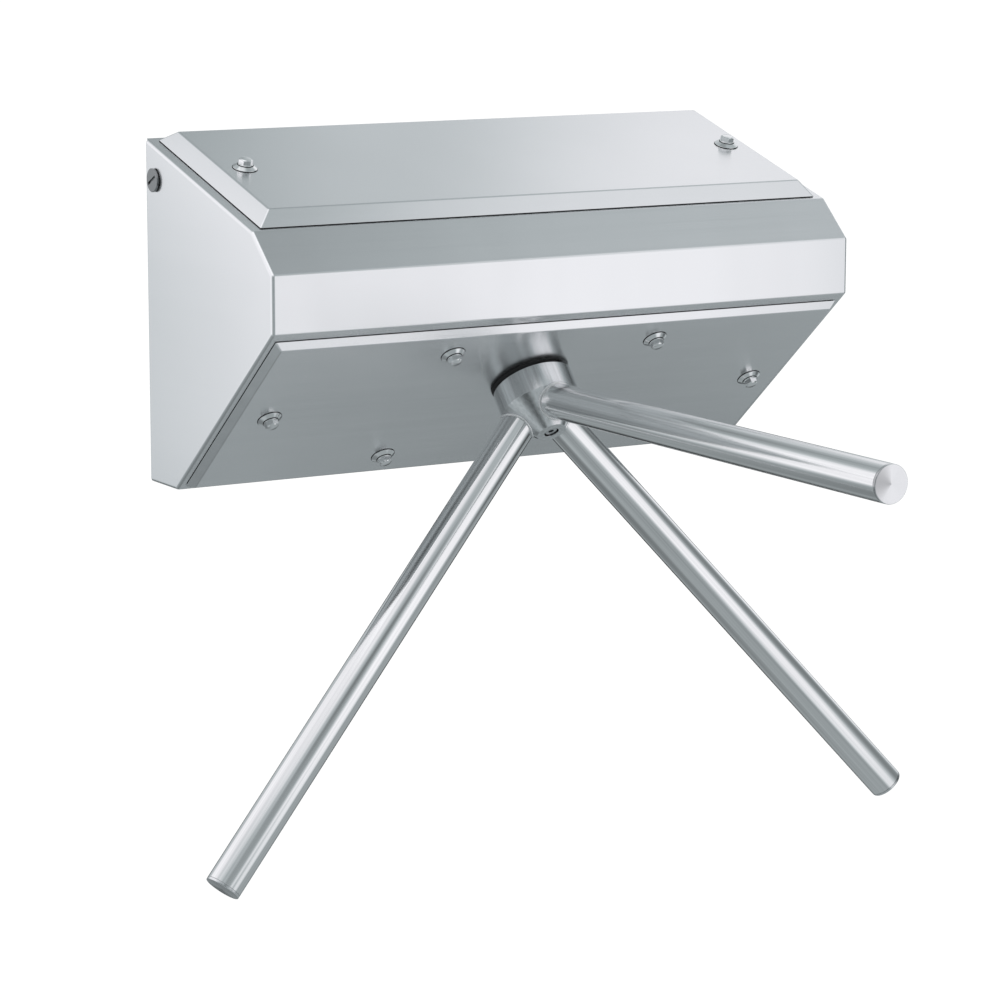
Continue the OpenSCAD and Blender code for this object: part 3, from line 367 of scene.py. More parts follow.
plug_mat = metal("plug_nickel", (0.27, 0.28, 0.285), rough=0.30, grain=even(300.0), edge=0.0004,
                 painted_shade_reach=0.002)
spring_mat = metal("spring_wire", (0.50, 0.52, 0.55), rough=0.30, grain=even(300.0))
hard_mat = metal("ground_steel", (0.52, 0.53, 0.55), rough=0.28, grain=(700.0, 60.0, 700.0),
                 edge=0.0003)
bearing_mat = metal("bearing_steel", (0.70, 0.71, 0.73), rough=0.12, grain=(60.0, 700.0, 700.0),
                    edge=0.0002)
alloy_mat = metal("milled_alloy", (0.66, 0.67, 0.69), rough=0.36, grain=(700.0, 20.0, 700.0),
                  edge=0.0005)
bronze_mat = metal("milled_bronze", (0.62, 0.43, 0.20), rough=0.32, grain=(700.0, 30.0, 700.0),
                   edge=0.0003)
rubber_mat = dull("black_rubber", (0.009, 0.0095, 0.010), rough=0.62)
paint_mat = dull("black_paint", (0.03, 0.03, 0.033), rough=0.35, speckle=0.2, specular=0.5)


def turning_marks(mat, axis, per_metre, strength):
    """Puts the fine circles that a lathe leaves round an axis in place of the even texture."""
    tree = mat.node_tree
    coord = node(tree, "ShaderNodeTexCoord").outputs["Object"]
    dot = node(tree, "ShaderNodeVectorMath", operation="DOT_PRODUCT")
    tree.links.new(coord, dot.inputs[0])
    dot.inputs[1].default_value = axis
    noise = node(tree, "ShaderNodeTexNoise", noise_dimensions="1D", Scale=per_metre, Detail=2.0)
    tree.links.new(dot.outputs["Value"], noise.inputs["W"])
    bumps = next(n for n in tree.nodes if n.bl_idname == "ShaderNodeBump")
    tree.links.new(noise.outputs["Fac"], bumps.inputs["Height"])
    bumps.inputs["Strength"].default_value = strength


def painted_face_shade(mat, turn, depth, half_shade):
    """Paints shade on a turned end face round its centre, from light on one side to dark on the
    other, in place of the light and dark sectors that its reflections make.

    turn is where the dark side lies, depth how dark it is, and half_shade how wide.
    """
    tree = mat.node_tree
    shader = next(n for n in tree.nodes if n.bl_idname == "ShaderNodeBsdfPrincipled")
    sweep = node(tree, "ShaderNodeTexGradient", gradient_type="RADIAL")
    tree.links.new(mesh_vector(tree, "local_place"), sweep.inputs["Vector"])
    angle = math_node(tree, "MULTIPLY_ADD", sweep.outputs["Fac"], 2 * math.pi, turn)
    wave = math_node(tree, "MULTIPLY_ADD", math_node(tree, "COSINE", angle), 0.5, 0.5)
    shade = ramp(tree, wave, [(0.0, 1 - depth), (half_shade, 1.0)])
    plain = shader.inputs["Base Color"].links[0].from_socket
    tree.links.new(times(tree, plain, shade), shader.inputs["Base Color"])


turning_marks(hub_mat, HUB_AXIS, per_metre=900.0, strength=0.12)
# The end caps get painted shade: one side of each face darker than the other.
painted_face_shade(cap_mat, turn=1.08 * math.pi, depth=0.4, half_shade=0.35)


def set_material(obj, mat):
    obj.data.materials.clear()
    obj.data.materials.append(mat)


for names, mat in (
    (("left_side_panel", "right_side_panel"), side_mat),
    (("front_panel", "floor_plate", "back_plate", "top_flanges", "under_flanges"), panel_mat),
    (("top_cover",), top_mat),
    (("under_cover",), under_mat),
    (("hub_head",), hub_mat),
    (("front_arm", "left_arm", "right_arm"), arm_mat),
    (("front_arm_cap", "left_arm_cap", "right_arm_cap"), cap_mat),
    (("cover_screws", "cover_screw_collars"), polished_mat),
    (("hub_screw",), socket_mat),
    (("blanking_plugs",), plug_mat),
    (("plug_locknuts", "cover_standoffs", "mounting_pillars", "mechanism_bolts", "plate_spacers",
      "mechanism_screws", "mechanism_pins", "arm_root_plugs", "arm_set_screws", "shaft_keys",
      "shaft_sleeves", "shaft_circlip", "roller_pin"), plated_mat),
    (("pawl_springs", "centring_spring"), spring_mat),
    (("main_shaft", "centring_cam", "stop_wheel", "drive_gear", "damper_pinion",
      "centring_roller"), hard_mat),
    (("front_bearing_outer", "rear_bearing_outer", "front_bearing_inner", "rear_bearing_inner",
      "front_bearing_balls", "rear_bearing_balls"), bearing_mat),
    (("front_mechanism_plate", "rear_mechanism_plate", "front_bearing_housing",
      "rear_bearing_housing"), alloy_mat),
    (("entry_pawl", "exit_pawl", "centring_lever"), bronze_mat),
    (("damper_body",), paint_mat),
    (("top_cover_seal", "under_cover_seal", "plug_seals", "hub_seal"), rubber_mat),
):
    for name in names:
        set_material(NODES[name], mat)


# Mesh helpers
TINY = 1e-9
LARGEST_CUT_SHARE = 0.49


def add_piece(name, verts, faces, mat, body, slot, replaced, place=Matrix.Identity(4), sharp=35.0,
              normals=None, over=None):
    """Makes a piece whose mesh lies in the shared frame, and ties it to its body.

    over gives, for each local vertex, the direction over the brush marks.
    """
    mesh = bpy.data.meshes.new(name)
    mesh.from_pydata([tuple(place @ Vector(v)) for v in verts], [], faces)
    mesh.update()
    if over:
        flat = place.to_3x3()
        for key, rows in (("local_place", [Vector(v) for v in verts]),
                          ("over_marks", [flat @ over(Vector(v)) for v in verts])):
            layer = mesh.attributes.new(key, "FLOAT_VECTOR", "POINT")
            layer.data.foreach_set("vector", [c for row in rows for c in row])
    obj = bpy.data.objects.new(name, mesh)
    scene.collection.objects.link(obj)
    mesh.materials.append(mat)
    mesh.shade_smooth()
    if normals:
        mesh.normals_split_custom_set(normals)
    else:
        mesh.set_sharp_from_angle(angle=math.radians(sharp))
    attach(obj, body)
    if replaced:
        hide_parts(replaced)
    return obj


def fillet(points, radii, steps=4):
    """Rounds the corners of an open outline of (r, z) points, each by its own radius."""
    out = []
    for i, (point, radius) in enumerate(zip(points, radii)):
        if radius <= 0 or i in (0, len(points) - 1):
            out.append(point)
            continue
        before, corner, after = Vector(points[i - 1]), Vector(point), Vector(points[i + 1])
        back, ahead = before - corner, after - corner
        angle = back.angle(ahead)
        largest = LARGEST_CUT_SHARE * min(back.length, ahead.length)
        cut = min(radius / math.tan(angle / 2), largest)
        radius = cut * math.tan(angle / 2)
        back.normalize()
        ahead.normalize()
        centre = corner + (back + ahead).normalized() * (radius / math.sin(angle / 2))
        start = corner + back * cut - centre
        end = corner + ahead * cut - centre
        turn = start.angle_signed(end)
        for k in range(steps + 1):
            on_arc = centre + Matrix.Rotation(-turn * k / steps, 2) @ start
            out.append((on_arc.x, on_arc.y))
    return out


def bridge(low, high, faces):
    """Faces between two rings of vertices, of which one may be a single vertex."""
    sides = max(len(low), len(high))
    for k in range(sides):
        j = (k + 1) % sides
        if len(low) == 1:
            faces.append((low[0], high[j], high[k]))
        elif len(high) == 1:
            faces.append((low[k], low[j], high[0]))
        else:
            faces.append((low[k], low[j], high[j], high[k]))


def lathe(profile, sides, verts, faces, place=Matrix.Identity(4)):
    """Turns an outline of (r, z) about local Z and adds it to verts and faces."""
    rings = []
    for r, z in profile:
        count = 1 if r < TINY else sides
        rings.append(range(len(verts), len(verts) + count))
        for k in range(count):
            a = 2 * math.pi * k / sides
            verts.append(place @ Vector((r * math.cos(a), r * math.sin(a), z)))
    for low, high in zip(rings, rings[1:]):
        bridge(low, high, faces)


# Body shell: a folded and welded box whose outer edges are rounded. FOLDED_SHEETS names the sheet
# on each side of the outline, from the first of CORNERS on.
FOLD_STEPS = 4
SIDES = len(CORNERS)
FOLDED_SHEETS = ["top_flanges", "front_panel", "front_panel", "under_flanges", "floor_plate",
                 "back_plate"]
END_PANELS = ((-1, "left_side_panel"), (1, "right_side_panel"))
SKIN_GAP = 0.0001
SAME_PLACE = 1e-7
NO_AREA = 1e-12


def edge_normal(p, q):
    """The outward normal, as (y, z), of the outline's edge from p to q."""
    way = Vector((q[0] - p[0], q[1] - p[1])).normalized()
    return Vector((way.y, -way.x))


def inset(points, by):
    out = []
    for i, point in enumerate(points):
        n1 = edge_normal(points[i - 1], point)
        n2 = edge_normal(point, points[(i + 1) % len(points)])
        out.append(Vector(point) - by * (n1 + n2) / (1 + n1.dot(n2)))
    return out


CORE = inset(CORNERS, FOLD_R)


def shell_point(side, i, k, j):
    """Point and normal on the rounded shell: corner i, fold step k, end step j."""
    n1 = edge_normal(CORNERS[i - 1], CORNERS[i])
    n2 = edge_normal(CORNERS[i], CORNERS[(i + 1) % SIDES])
    turn = n1.angle_signed(n2)
    n = Matrix.Rotation(-turn * k / FOLD_STEPS, 2) @ n1
    phi = math.pi / 2 * j / FOLD_STEPS
    normal = Vector((side * math.sin(phi), math.cos(phi) * n.x, math.cos(phi) * n.y))
    base = Vector((side * (HALF_X - FOLD_R), CORE[i].x, CORE[i].y))
    return base + normal * FOLD_R, normal


def flange_faces(flat, lip):
    """The four faces of a flange that runs round an opening in a flat side of the shell."""
    points = [p for p, _ in flat]
    normal = flat[0][1]
    slope = points[1] - points[0]
    along, length = slope.normalized(), slope.length
    end = HALF_X - END_LIP
    hole = [
        Vector((x, points[0].y, points[0].z)) + along * down
        for x, down in ((-end, lip), (-end, length - lip), (end, length - lip), (end, lip))
    ]
    faces = []
    for m in range(4):
        o = (m + 1) % 4
        faces.append([(p, normal) for p in (points[m], points[o], hole[o], hole[m])])
    return faces


def shell_faces():
    """The outer faces of each sheet of the body, as rings of (point, normal)."""
    sheets = defaultdict(list)
    for i in range(SIDES):
        here, before = FOLDED_SHEETS[i], FOLDED_SHEETS[i - 1]
        after = (i + 1) % SIDES
        for k in range(FOLD_STEPS):
            fold = before if k < FOLD_STEPS / 2 else here
            sheets[fold].append([shell_point(-1, i, k, 0), shell_point(-1, i, k + 1, 0),
                                 shell_point(1, i, k + 1, 0), shell_point(1, i, k, 0)])
        for side, panel in END_PANELS:
            for j in range(FOLD_STEPS):
                on_end = j >= FOLD_STEPS / 2
                for k in range(FOLD_STEPS):
                    fold = before if k < FOLD_STEPS / 2 else here
                    ring = [shell_point(side, i, k, j), shell_point(side, i, k + 1, j),
                            shell_point(side, i, k + 1, j + 1), shell_point(side, i, k, j + 1)]
                    # at the last step both outer points are the same, so the face is a triangle
                    if j == FOLD_STEPS - 1:
                        ring = ring[:3]
                    sheets[panel if on_end else fold].append(ring)
                sheets[panel if on_end else here].append(
                    [shell_point(side, i, FOLD_STEPS, j), shell_point(side, after, 0, j),
                     shell_point(side, after, 0, j + 1), shell_point(side, i, FOLD_STEPS, j + 1)])
        flat = [shell_point(-1, i, FOLD_STEPS, 0), shell_point(-1, after, 0, 0),
                shell_point(1, after, 0, 0), shell_point(1, i, FOLD_STEPS, 0)]
        if here == "top_flanges":
            sheets[here] += flange_faces(flat, TOP_LIP)
        elif here == "under_flanges":
            sheets[here] += flange_faces(flat, UNDER_LIP)
        else:
            sheets[here].append(flat)
    for side, panel in END_PANELS:
        sheets[panel].append([shell_point(side, i, 0, FOLD_STEPS) for i in range(SIDES)])
    return sheets


def facing_out(ring):
    """The ring, reversed where its face doesn't look the way that its normals point."""
    points = [p for p, _ in ring]
    area = Vector((0, 0, 0))
    for i in range(1, len(points) - 1):
        area += (points[i] - points[0]).cross(points[i + 1] - points[0])
    mean = sum((n for _, n in ring), Vector((0, 0, 0)))
    return ring if area.dot(mean) > 0 else ring[::-1]


def skin(sheet, rings, mat):
    """Gives a sheet's outer faces its thickness and keeps their rounded normals."""
    verts, faces, normals = [], [], []
    index, edges = {}, {}
    depth = SHEET - SKIN_GAP

    def key(p):
        return (round(p.x, 6), round(p.y, 6), round(p.z, 6))

    def vertex(corner, inside):
        p, n = corner
        place = (key(p), key(n), inside)
        if place not in index:
            index[place] = len(verts)
            verts.append(p - n * depth if inside else p)
        return index[place]

    for ring in rings:
        ring = [c for i, c in enumerate(ring) if (c[0] - ring[i - 1][0]).length > SAME_PLACE]
        if len(ring) < 3:
            continue
        faces.append([vertex(c, False) for c in ring])
        normals += [n for _, n in ring]
        faces.append([vertex(c, True) for c in ring][::-1])
        normals += [-n for _, n in ring][::-1]
        for c, d in zip(ring, ring[1:] + ring[:1]):
            a, b = key(c[0]), key(d[0])
            if (b, a) in edges:
                del edges[(b, a)]
            else:
                edges[(a, b)] = (c, d)
    for c, d in edges.values():
        rim = [vertex(c, False), vertex(c, True), vertex(d, True), vertex(d, False)]
        n = (verts[rim[1]] - verts[rim[0]]).cross(verts[rim[3]] - verts[rim[0]])
        if n.length < NO_AREA:
            continue
        faces.append(rim)
        normals += [n.normalized()] * 4
    add_piece(sheet + "_skin", verts, faces, mat, "housing", "panel_steel", sheet, normals=normals)


def body_skins():
    """Dresses every sheet but the back plate, which keeps the solid with its stud holes."""
    for sheet, rings in shell_faces().items():
        if sheet != "back_plate":
            mat = side_mat if "side" in sheet else panel_mat
            skin(sheet, [facing_out(ring) for ring in rings], mat)


body_skins()


# Covers: folded trays with 45 degree sides and small edge radii
TRAY_T = 0.0015
TRAY_LIP = TRAY_T * 1.4
TOP_RIM_H = SEAL_T * 0.65
UNDER_RIM_H = SEAL_T / 2
TOP_EDGE_R = 0.0016
UNDER_EDGE_R = 0.0011
RIM_ROUND_SHARE = 0.3


def cover(name, replaced, place, width, back, front, height, rim_h, edge_r, mat):
    """A tray whose rim stands rim_h over the body's face, with rounded edges."""
    lean = height - rim_h

    def ring(by, h):
        x, near, far = width / 2 - by, back + by, front - by
        return [(-x, -near, h), (x, -near, h), (x, -far, h), (-x, -far, h)]

    verts = (ring(0, rim_h) + ring(lean, height) + ring(TRAY_LIP, rim_h)
             + ring(lean + TRAY_T, height - TRAY_T))
    faces = [(4, 7, 6, 5), (12, 13, 14, 15)]
    for m in range(4):
        o = (m + 1) % 4
        faces.append((m, 4 + m, 4 + o, o))
        faces.append((8 + m, 8 + o, 12 + o, 12 + m))
        faces.append((m, o, 8 + o, 8 + m))
    obj = add_piece(name, verts, faces, mat, "housing", "cover_steel", replaced, place, sharp=180)
    bm = bmesh.new()
    bm.from_mesh(obj.data)
    bmesh.ops.recalc_face_normals(bm, faces=bm.faces)
    weight = bm.edges.layers.float.new("bevel_weight_edge")
    for edge in bm.edges:
        if all(v.index < 4 for v in edge.verts):
            edge[weight] = RIM_ROUND_SHARE
        elif all(v.index < 8 for v in edge.verts):
            edge[weight] = 1.0
    bm.to_mesh(obj.data)
    bm.free()
    obj.data.shade_smooth()
    bevel = obj.modifiers.new("round_edges", "BEVEL")
    bevel.limit_method = "WEIGHT"
    bevel.width = edge_r
    bevel.segments = 4
    bevel.harden_normals = True


cover("top_cover_tray", "top_cover", ON_TOP, TOP_W, TOP_BACK, TOP_FRONT, TOP_H, TOP_RIM_H,
      TOP_EDGE_R, top_mat)
cover("under_cover_tray", "under_cover", ON_UNDER, UNDER_W, UNDER_FRONT, UNDER_BACK, UNDER_H,
      UNDER_RIM_H, UNDER_EDGE_R, under_mat)


# Cover screws: a conical collar and a hexagon head with a flange, with a dark ring under each
SCREW_SIDES = 48
SHANK_R = 0.004
SHANK_LEN = 0.0200
RING_T = 0.0004
RING_BORE = 0.0050
COLLAR_RING_OUT = 0.0004
FLANGE_RING_OUT = 0.0005
COLLAR_BORE = 0.0044
COLLAR_RIM_H = 0.0010
CONE_FOOT_IN = 0.0004
CONE_FOOT_H = 0.0012
CONE_TOP_OUT = 0.0009
FLANGE_R = HEX_FLATS * 0.62
FLANGE_EDGE_H = CONE_H + 0.0010
FLANGE_TOP_H = CONE_H + 0.0016
HEX_FOOT_H = CONE_H + 0.0009
HEX_HEIGHT = COLLAR_H + HEX_H - CONE_H - 0.0012
FINE_R = 0.0002
EDGE_R = 0.0003
SOFT_R = 0.0004

# The head's chamfer, and its dome as shares of the half width and heights over the chamfer
HEX_TOP_SHARE = 0.96
CHAMFER_SLOPE = 0.55
DOME = [(HEX_TOP_SHARE, 0.0), (0.86, 0.0006), (0.62, 0.0010), (0.30, 0.0013), (0.0, 0.0014)]

# Angle of the first head on each cover, and the step to the next, in degrees
TOP_HEAD_TURN, TOP_HEAD_STEP = 17, 23
UNDER_HEAD_TURN, UNDER_HEAD_STEP = 11, 19


def hex_head(place, verts, faces):
    """A hexagon head with chamfered corners and a low dome."""
    half = HEX_FLATS / 2
    top_r = half * HEX_TOP_SHARE
    turns = [2 * math.pi * k / SCREW_SIDES for k in range(SCREW_SIDES)]
    reach = [half / math.cos((t + math.pi / 6) % (math.pi / 3) - math.pi / 6) for t in turns]
    rings = []
    for level in (
        [(r, 0.0) for r in reach],
        [(r, HEX_HEIGHT - (r - top_r) * CHAMFER_SLOPE) for r in reach],
        [(top_r, HEX_HEIGHT) for r in reach],
    ):
        rings.append(range(len(verts), len(verts) + SCREW_SIDES))
        for (r, z), t in zip(level, turns):
            verts.append(place @ Vector((r * math.cos(t), r * math.sin(t), z)))
    for low, high in zip(rings, rings[1:]):
        bridge(low, high, faces)
    dome = [(half * share, HEX_HEIGHT + rise) for share, rise in DOME]
    lathe(dome, SCREW_SIDES, verts, faces, place)


def cover_screws():
    """All screw heads as one piece, and so all collars and all dark rings."""
    heads, collars, rings = [([], []) for _ in range(3)]
    seat = CONE_H + RING_T
    collar = fillet(
        [(COLLAR_BORE, RING_T), (COLLAR_R, RING_T), (COLLAR_R, COLLAR_RIM_H),
         (COLLAR_R - CONE_FOOT_IN, CONE_FOOT_H), (FLANGE_R + CONE_TOP_OUT, CONE_H),
         (COLLAR_BORE, CONE_H)],
        [0, FINE_R, EDGE_R, EDGE_R, SOFT_R, 0])
    neck = fillet(
        [(SHANK_R, -SHANK_LEN), (SHANK_R, seat), (FLANGE_R, seat), (FLANGE_R, FLANGE_EDGE_H),
         (HEX_FLATS / 2, FLANGE_TOP_H)],
        [0, 0, EDGE_R, EDGE_R, 0])
    dark_rings = [
        [(RING_BORE, low), (reach, low), (reach, low + RING_T), (RING_BORE, low + RING_T)]
        for reach, low in ((COLLAR_R + COLLAR_RING_OUT, 0.0), (FLANGE_R + FLANGE_RING_OUT, CONE_H))
    ]
    for face, screws, height, first, step in (
        (ON_TOP, TOP_SCREWS, TOP_H, TOP_HEAD_TURN, TOP_HEAD_STEP),
        (ON_UNDER, UNDER_SCREWS, UNDER_H, UNDER_HEAD_TURN, UNDER_HEAD_STEP),
    ):
        for i, (x, down) in enumerate(screws):
            turn = Matrix.Rotation(math.radians(first + step * i), 4, "Z")
            at = face @ Matrix.Translation((x, -down, height)) @ turn
            lathe(collar, SCREW_SIDES, *collars, at)
            for ring in dark_rings:
                lathe(ring, SCREW_SIDES, *rings, at)
            lathe(neck, SCREW_SIDES, *heads, at)
            hex_head(at @ Matrix.Translation((0, 0, HEX_FOOT_H)), *heads)
    add_piece("cover_screw_heads", *heads, polished_mat, "housing", "polished_steel",
              "cover_screws", sharp=28)
    add_piece("cover_screw_cones", *collars, polished_mat, "housing", "polished_steel",
              "cover_screw_collars", sharp=40)
    add_piece("cover_screw_washers", *rings, rubber_mat, "housing", "seal_rubber", None)


cover_screws()


# Blanking plugs with a driver slot
PLUG_SIDES = 64
PLUG_NECK_R = 0.010
PLUG_NECK_LEN = 0.009
PLUG_SEAT_H = 0.001
PLUG_EDGE_H = 0.003
PLUG_FACE_H = 0.0034
PLUG_FACE_R = PLUG_R - 0.0006
PLUG_TURN = math.radians(-62)
PLUG_ARC_STEPS = 24
SLOT_HALF_W = PLUG_R / 8
SLOT_HALF_L = PLUG_R * 0.75
SLOT_FLOOR_H = PLUG_FACE_H - 0.0016


def slotted_face(at, verts, faces):
    """A plug's round face: two half discs, and the slot's side walls, end strips, ends and floor."""
    start = math.asin(SLOT_HALF_W / PLUG_FACE_R)
    slot_reach = math.sqrt(PLUG_FACE_R * PLUG_FACE_R - SLOT_HALF_W ** 2)

    def add(points, *new_faces):
        first = len(verts)
        verts.extend(at @ Vector(p) for p in points)
        faces.extend(tuple(first + corner for corner in face) for face in new_faces)

    for half in (1, -1):
        y = half * SLOT_HALF_W
        arc = []
        for k in range(PLUG_ARC_STEPS + 1):
            t = start + (math.pi - 2 * start) * k / PLUG_ARC_STEPS
            arc.append((PLUG_FACE_R * math.cos(t), half * PLUG_FACE_R * math.sin(t), PLUG_FACE_H))
        edge = [(-SLOT_HALF_L, y, PLUG_FACE_H), (SLOT_HALF_L, y, PLUG_FACE_H)]
        low = [(-SLOT_HALF_L, y, SLOT_FLOOR_H), (SLOT_HALF_L, y, SLOT_FLOOR_H)]
        disc = range(len(arc) + 2)
        add(arc + edge, disc if half > 0 else disc[::-1])
        add(edge + low, (1, 0, 2, 3) if half > 0 else (0, 1, 3, 2))
    for end in (1, -1):
        x, out = end * SLOT_HALF_L, end * slot_reach
        strip, wall = (0, 1, 2, 3), (0, 4, 5, 1)
        add([(x, SLOT_HALF_W, PLUG_FACE_H), (x, -SLOT_HALF_W, PLUG_FACE_H),
             (out, -SLOT_HALF_W, PLUG_FACE_H), (out, SLOT_HALF_W, PLUG_FACE_H),
             (x, SLOT_HALF_W, SLOT_FLOOR_H), (x, -SLOT_HALF_W, SLOT_FLOOR_H)],
            strip if end > 0 else strip[::-1], wall if end > 0 else wall[::-1])
    add([(-SLOT_HALF_L, -SLOT_HALF_W, SLOT_FLOOR_H), (SLOT_HALF_L, -SLOT_HALF_W, SLOT_FLOOR_H),
         (SLOT_HALF_L, SLOT_HALF_W, SLOT_FLOOR_H), (-SLOT_HALF_L, SLOT_HALF_W, SLOT_FLOOR_H)],
        (0, 1, 2, 3))


def plugs():
    verts, faces = [], []
    profile = fillet(
        [(PLUG_NECK_R, -PLUG_NECK_LEN), (PLUG_NECK_R, PLUG_SEAT_H), (PLUG_R, PLUG_SEAT_H),
         (PLUG_R, PLUG_EDGE_H)],
        [0, 0, SOFT_R, 0])
    profile.append((PLUG_FACE_R, PLUG_FACE_H))
    for side in (-1, 1):
        at = (
            Matrix.Translation((side * HALF_X, -PLUG_BACK, TOP_Z - PLUG_DOWN))
            @ Matrix.Rotation(side * math.pi / 2, 4, "Y")
            @ Matrix.Rotation(PLUG_TURN, 4, "Z")
        )
        lathe(profile, PLUG_SIDES, verts, faces, at)
        slotted_face(at, verts, faces)
    add_piece("slotted_plugs", verts, faces, plug_mat, "housing", "plated_steel",
              "blanking_plugs", sharp=30)


plugs()


# Rubber seals under the covers
STRIP_W = 0.010
STRIP_BULGE = 0.0006
TOP_STRIP_IN = 0.001
UNDER_STRIP_IN = 0.0024


def frame_seal(name, replaced, place, width, back, front, by):
    """A flat frame of rubber that lies in from the cover's edge, with a bulged outer side."""
    w = width / 2 - by
    near, far = back + by, front - by
    rings = []
    for grow, h in ((0.0, 0.0), (STRIP_BULGE, SEAL_T / 2), (0.0, SEAL_T),
                    (-STRIP_W, SEAL_T), (-STRIP_W, 0.0)):
        x = w + grow
        rings.append([(-x, -near + grow, h), (x, -near + grow, h),
                      (x, -far - grow, h), (-x, -far - grow, h)])
    verts = [p for ring in rings for p in ring]
    faces = []
    for s in range(len(rings)):
        low, high = s * 4, (s + 1) % len(rings) * 4
        for m in range(4):
            o = (m + 1) % 4
            faces.append((low + o, low + m, high + m, high + o))
    add_piece(name, verts, faces, rubber_mat, "housing", "seal_rubber", replaced, place, sharp=60)


frame_seal("top_cover_gasket", "top_cover_seal", ON_TOP, TOP_W, TOP_BACK, TOP_FRONT,
           TOP_STRIP_IN)
frame_seal("under_cover_gasket", "under_cover_seal", ON_UNDER, UNDER_W, UNDER_FRONT, UNDER_BACK,
           UNDER_STRIP_IN)


# Hub seal: clipped into the under cover, and set off the hub's axis to the left, so that its black
# lip stands in for the dark crescent of shade left of the drum: painted shade.
# LIP gives the radii and heights of the lip's outline.
HUB_SEAL_SIDES = 96
HUB_SEAL_SHADE_SHIFT = -0.0046
HUB_SEAL_BORE = 0.030
HUB_SEAL_FOOT_R = 0.040
HUB_SEAL_FOOT_T = 0.003
HUB_SEAL_NECK_R = 0.037
HUB_SEAL_FOOT_H = UNDER_H - TRAY_T
HUB_SEAL_TOP_H = DRUM_BACK - 0.0003
LIP = [(0.0402, UNDER_H), (0.0400, UNDER_H + 0.0014), (0.0388, UNDER_H + 0.0026),
       (0.0390, HUB_SEAL_TOP_H)]
LIP_ROUND = [0.0008, 0.0008, 0.0008, 0.0005]


def hub_seal():
    low = HUB_SEAL_FOOT_H - HUB_SEAL_FOOT_T
    ring = fillet(
        [(HUB_SEAL_BORE, low), (HUB_SEAL_FOOT_R, low), (HUB_SEAL_NECK_R, HUB_SEAL_FOOT_H),
         (HUB_SEAL_NECK_R, UNDER_H), *LIP, (HUB_SEAL_BORE, HUB_SEAL_TOP_H), (HUB_SEAL_BORE, low)],
        [0, SOFT_R, 0, 0, *LIP_ROUND, EDGE_R, 0], steps=3)
    verts, faces = [], []
    # The shift to the left puts black rubber where the drum's shade falls: painted shade.
    lathe(ring, HUB_SEAL_SIDES, verts, faces, Matrix.Translation((HUB_SEAL_SHADE_SHIFT, 0, 0)))
    add_piece("hub_lip_seal", verts, faces, rubber_mat, "housing", "seal_rubber", "hub_seal",
              ON_HUB, sharp=50)


hub_seal()


# Arms: tubes with a satin finish and turned end caps
ARM_SIDES = 128
ARM_STEPS = 40
ARM_START = 0.0241
TUBE_BORE = ARM_R - 0.002
TUBE_EDGE = 0.0003
CAP_SPIGOT = 0.018
CAP_FIT = 0.0001
CAP_GAP = 0.00015
CAP_R = ARM_R - 0.00005
CAP_ROUND = 0.0009
CAP_FACE_R = ARM_R - 0.001
CAP_RINGS = 12


def arms():
    def along(v):
        return Vector((0, 0, 1))

    def outward(v):
        flat = Vector((v.x, v.y, 0))
        return flat.normalized() if flat.length > TINY else Vector((1, 0, 0))

    end = ARM_LEN - CAP_T
    span = end - TUBE_EDGE - ARM_START
    outside = [(ARM_R, ARM_START + span * k / ARM_STEPS) for k in range(ARM_STEPS + 1)]
    wall = [(TUBE_BORE, ARM_START), *outside, (ARM_R - TUBE_EDGE, end), (TUBE_BORE, end),
            (TUBE_BORE, ARM_START)]
    spigot_r = TUBE_BORE - CAP_FIT
    cap = fillet(
        [(0.0, end - CAP_SPIGOT), (spigot_r, end - CAP_SPIGOT), (spigot_r, end),
         (CAP_R, end + CAP_GAP), (CAP_R, ARM_LEN), (0.0, ARM_LEN)],
        [0, 0, 0, 0, CAP_ROUND, 0], steps=5)
    cap.pop()
    cap += [(CAP_FACE_R * (1 - k / CAP_RINGS), ARM_LEN) for k in range(1, CAP_RINGS + 1)]
    for name, turn in ARM_TURNS.items():
        place = on_arm(turn)
        verts, faces = [], []
        lathe(wall, ARM_SIDES, verts, faces)
        add_piece(name + "_tube", verts, faces, arm_mat, "rotor", "arm_steel", name, place,
                  sharp=25, over=along)
        verts, faces = [], []
        lathe(cap, ARM_SIDES, verts, faces)
        add_piece(name + "_end_cap", verts, faces, cap_mat, "rotor", "cap_steel",
                  name + "_cap", place, sharp=25, over=outward)


arms()


# Root edges: the rounded edge of each socket, found where the arm comes out of the hub
BEAD_R = 0.0013
BEAD_IN_R = ARM_R + 0.0004
BEAD_SIDES = 96
BEAD_STEPS = 10
ROOT_NEAR, ROOT_FAR = 0.015, 0.065
HALVINGS = 40


def hub_radius(h):
    """The hub's outer radius at the height h: a drum and then a cone."""
    return min(DRUM_R, DRUM_R - (h - DRUM_FRONT) * math.tan(UNDER_SLOPE))


def root_distance(arm, radial):
    """How far along the arm its surface comes out of the hub, on one side of the arm."""
    near, far = ROOT_NEAR, ROOT_FAR
    for _ in range(HALVINGS):
        middle = (near + far) / 2
        p = arm @ (radial * BEAD_IN_R + Vector((0, 0, middle)))
        if math.hypot(p.x, p.y) > hub_radius(p.z):
            far = middle
        else:
            near = middle
    return near


